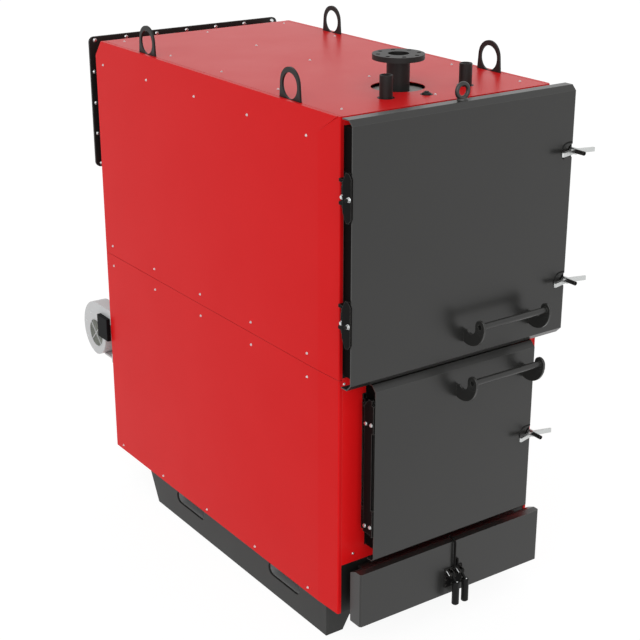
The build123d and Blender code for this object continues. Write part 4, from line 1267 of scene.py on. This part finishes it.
@dataclass
class FanFittings:
    """Woven guard with its cross bars, screws and motor fins of the combustion fan.

    Attributes:
        x: plane of the inlet plate.
        y: y of the fan's axis.
        z: height of the fan's axis.
        inlet: radius of the inlet.
        wire: pitch and radius of the net's wires; a real net is finer than the render can show.
        bar: radius of the guard's cross bars.
        screw_angles: where the plate's screws sit round the axis, in degrees.
        screw_circle: radius of their circle.
        motor_x: start and end of the motor's ribbed part.
        motor_radius: radius of the motor.
        fin: how far the fins stand out, and their thickness.
    """

    x: float = -500.0
    y: float = 1100.0
    z: float = 700.0
    inlet: float = 70.0
    wire: tuple[float, float] = (5.0, 1.1)
    bar: float = 2.2
    screw_angles: tuple[float, ...] = (-70.0, -25.0, 20.0, 65.0)
    screw_circle: float = 104.0
    motor_x: tuple[float, float] = (-425.0, -340.0)
    motor_radius: float = 55.0
    fin: tuple[float, float] = (3.5, 2.4)

    def net(self, radius: float) -> list[Solid]:
        """The guard's wires, in two layers that cross at right angles.

        A wire at the offset c from the middle reaches the square root of radius squared less
        c squared to either side, and every layer is turned by 45 degrees.

        Args:
            radius: radius of the net.

        Returns:
            The wires.
        """
        pitch, thick = self.wire
        wires = []
        for offset in np.arange(-12, 13) * pitch:
            half = math.sqrt(radius**2 - offset**2)
            for way, plane in ((1, 1.4), (-1, 2.6)):
                along = np.array((-half, 0.0, half))
                flat = np.stack((along + way * offset, way * along - offset), -1) / math.sqrt(2)
                line = np.column_stack((np.full(3, self.x + plane), flat + (self.y, self.z)))
                wires.append(tube(line, (1, 0, 0), thick, 6))
        return wires

    def build(self, finishes: Materials) -> None:
        """Makes the net, the guard, the plate's screws and the motor's fins.

        Args:
            finishes: the materials by their names in Finishes.
        """
        inner = self.inlet - 2.0
        make_piece("fan_net", self.net(inner), finishes["net"], "boiler", soft=60.0)
        turn = np.linspace(0, 2 * np.pi, 65)[:-1]
        loop = np.stack((np.full(64, 0.4), inner * np.cos(turn), inner * np.sin(turn)), -1)
        guard = [tube(loop + (self.x, self.y, self.z), (1, 0, 0), 1.6, 8, closed=True)]
        for angle in np.radians((45.0, 135.0)):
            line = np.linspace(-inner, inner, 5)
            spoke = np.stack((np.full(5, -0.4), line * np.cos(angle), line * np.sin(angle)), -1)
            guard.append(tube(spoke + (self.x, self.y, self.z), (1, 0, 0), self.bar, 8))
        make_piece("fan_guard", guard, finishes["fan"], "boiler", soft=60.0)
        screw = lathe(((0, 0), (4.5, 0), (4.2, 1.6), (2.6, 2.6), (0, 2.6)), 14)
        spots = [
            (self.x, self.y + self.screw_circle * math.cos(t), self.z + self.screw_circle * math.sin(t))
            for t in np.radians(self.screw_angles)
        ]
        make_piece("fan_screws", [screw.moved(spots, Facing.LEFT)], finishes["zinc"], "boiler")
        ribs = washer(self.motor_radius - 1.0, self.motor_radius + self.fin[0], self.fin[1])
        places = [(x, self.y, self.z) for x in np.linspace(*self.motor_x, 10)]
        make_piece("motor_fins", [ribs.moved(places, Facing.RIGHT)], finishes["motor"], "boiler")


@dataclass
class FrameDress:
    """Finishes of the CAD nodes.

    Attributes:
        table: the start of a node's name and its finish; the first match counts.
    """

    table: tuple[tuple[str, str], ...] = (
        ("side_panel", "casing"),
        ("roof_panel", "roof"),
        ("front_panel", "front"),
        ("rear_panel", "casing"),
        ("base_", "base"),
        ("water_deck_top", "jacket"),
        ("grate", "iron"),
        ("upper_door_cover", "doors"),
        ("lower_door_cover", "doors"),
        ("upper_door_core", "core"),
        ("lower_door_core", "core"),
        ("upper_door_handle", "doors"),
        ("lower_door_handle", "doors"),
        ("ash_drawer_front", "doors"),
        ("upper_wing", "wing"),
        ("lower_wing", "wing"),
        ("upper_door_stud", "hinge"),
        ("lower_door_stud", "hinge"),
        ("upper_hinge", "hinge"),
        ("lower_hinge", "hinge"),
        ("toggle_lever", "grip"),
        ("toggle_base", "hinge"),
        ("fan_housing", "fan"),
        ("fan_wheel", "fan"),
        ("fan_", "motor"),
    )

    def build(self, nodes: dict[str, bpy.types.Object], finishes: Materials) -> None:
        """Gives each node the finish of the first matching line, or the body's black paint.

        Args:
            nodes: the CAD nodes by name.
            finishes: the materials by their names in Finishes.
        """
        for name, node in nodes.items():
            finish = next((f for start, f in self.table if name.startswith(start)), "body")
            if not node.material_slots:
                node.data.materials.append(finishes[finish])
            for slot in node.material_slots:
                slot.material = finishes[finish]
            log.info("%s: %s", name, finish)


@dataclass
class Studio:
    """Pale floor, soft light and the camera.

    Attributes:
        eye: the camera's place in millimetres.
        yaw: how far the view turns from the rear towards the right, in degrees.
        pitch: how far it looks down, in degrees.
        lens: focal length on a 36 mm sensor.
        sky: strength of the world's light.
        sun: strength of the soft key light.
        sun_size: angle that the key light fills, in degrees; wide, for soft shadows.
        sun_way: how far the key light tips from straight down and turns, in degrees.
        glow: brightness of the floor where the eye or a reflection sees it.
        white: share of that glow, which leaves the rest to the shadow.
        floor: radius and height of the floor, just under the base.
    """

    eye: Point = (-3335.6, -4891.8, 3275.7)
    yaw: float = 34.86
    pitch: float = 21.0
    lens: float = 80.5
    sky: float = 0.66
    sun: float = 1.6
    sun_size: float = 70.0
    sun_way: tuple[float, float] = (70.0, -42.0)
    glow: float = 1.08
    white: float = 0.85
    floor: tuple[float, float] = (60000.0, -0.5)

    def seen(self, tree: bpy.types.NodeTree) -> bpy.types.NodeSocket:
        """One for camera, glossy and transmission rays, and zero for the rest.

        Args:
            tree: the node tree.

        Returns:
            The number's socket.
        """
        path = add(tree, "ShaderNodeLightPath")
        both = add(
            tree,
            "ShaderNodeMath",
            {0: path.outputs["Is Camera Ray"], 1: path.outputs["Is Glossy Ray"]},
            operation="MAXIMUM",
        ).outputs[0]
        return add(
            tree, "ShaderNodeMath", {0: both, 1: path.outputs["Is Transmission Ray"]}, operation="MAXIMUM"
        ).outputs[0]

    def build(self) -> None:
        """Makes the floor, the world, the key light and the camera."""
        scene = bpy.context.scene
        scene.view_settings.view_transform = "Standard"
        self.build_world(scene)
        self.build_floor()
        lamp = bpy.data.lights.new("key", "SUN")
        lamp.energy = self.sun
        lamp.angle = math.radians(self.sun_size)
        key = bpy.data.objects.new("key", lamp)
        key.rotation_euler = (math.radians(self.sun_way[0]), 0, math.radians(self.sun_way[1]))
        scene.collection.objects.link(key)
        camera = bpy.data.objects.new("camera", bpy.data.cameras.new("camera"))
        camera.data.lens = self.lens
        camera.data.sensor_width = 36.0
        camera.data.clip_end = 200.0
        camera.location = [c * MM for c in self.eye]
        camera.rotation_euler = (math.radians(90 - self.pitch), 0, math.radians(-self.yaw))
        scene.collection.objects.link(camera)
        scene.camera = camera

    def build_world(self, scene: bpy.types.Scene) -> None:
        """A white world for the eye and for reflections, and a softer one for light.

        Args:
            scene: the scene that gets the world.
        """
        world = bpy.data.worlds.new("studio")
        world.use_nodes = True
        tree = world.node_tree
        tree.nodes.clear()
        light = add(tree, "ShaderNodeBackground", {"Color": (1, 1, 1, 1), "Strength": self.sky})
        white = add(tree, "ShaderNodeBackground", {"Color": (1, 1, 1, 1), "Strength": 1.0})
        mix = add(tree, "ShaderNodeMixShader", {0: self.seen(tree), 1: light.outputs[0], 2: white.outputs[0]})
        add(tree, "ShaderNodeOutputWorld", {"Surface": mix.outputs[0]})
        scene.world = world

    def build_floor(self) -> None:
        """A wide pale floor that keeps a share of the shadow."""
        floor = blank("studio_floor")
        tree = floor.node_tree
        place = add(tree, "ShaderNodeTexCoord").outputs["Object"]
        drift = add(tree, "ShaderNodeTexNoise", {"Vector": place, "Scale": 0.5}).outputs["Fac"]
        pale = add(
            tree,
            "ShaderNodeMix",
            {"Factor": drift, 6: linear("#f4f4f3"), 7: linear("#f0f0ef")},
            data_type="RGBA",
        ).outputs[2]
        matt = add(tree, "ShaderNodeBsdfDiffuse", {"Color": pale})
        glow = add(tree, "ShaderNodeEmission", {"Color": (1, 1, 1, 1), "Strength": self.glow})
        share = add(
            tree, "ShaderNodeMath", {0: self.seen(tree), 1: self.white}, operation="MULTIPLY"
        ).outputs[0]
        mix = add(tree, "ShaderNodeMixShader", {0: share, 1: matt.outputs[0], 2: glow.outputs[0]})
        add(tree, "ShaderNodeOutputMaterial", {"Surface": mix.outputs[0]})
        reach, height = self.floor
        disc = lathe(((0, height), (reach, height)), 96)
        mesh = bpy.data.meshes.new("floor")
        mesh.from_pydata((disc.corners * MM).tolist(), [], disc.faces.tolist())
        mesh.materials.append(floor)
        ground = bpy.data.objects.new("floor", mesh)
        bpy.context.scene.collection.objects.link(ground)


def main() -> None:
    """Loads the frame, dresses it, adds the small parts and the studio."""
    logging.basicConfig(level=logging.INFO, format="%(name)s %(message)s")
    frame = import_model()
    chosen = Finishes()
    finishes = {field.name: getattr(chosen, field.name).material() for field in fields(chosen)}
    FrameDress().build(frame["nodes"], finishes)
    for assembly in (
        CasingScrews(),
        HingeBolts(),
        ClampStuds(),
        StudShadowBeads(),
        DoorHandles(),
        DoorSeals(),
        RoofFittings(),
        EyeBolt(),
        SlotLiners(),
        SmokeBoxBolts(),
        DrawerClamps(),
        FanFittings(),
    ):
        assembly.build(finishes)
    Studio().build()


if __name__ == "__main__":
    main()
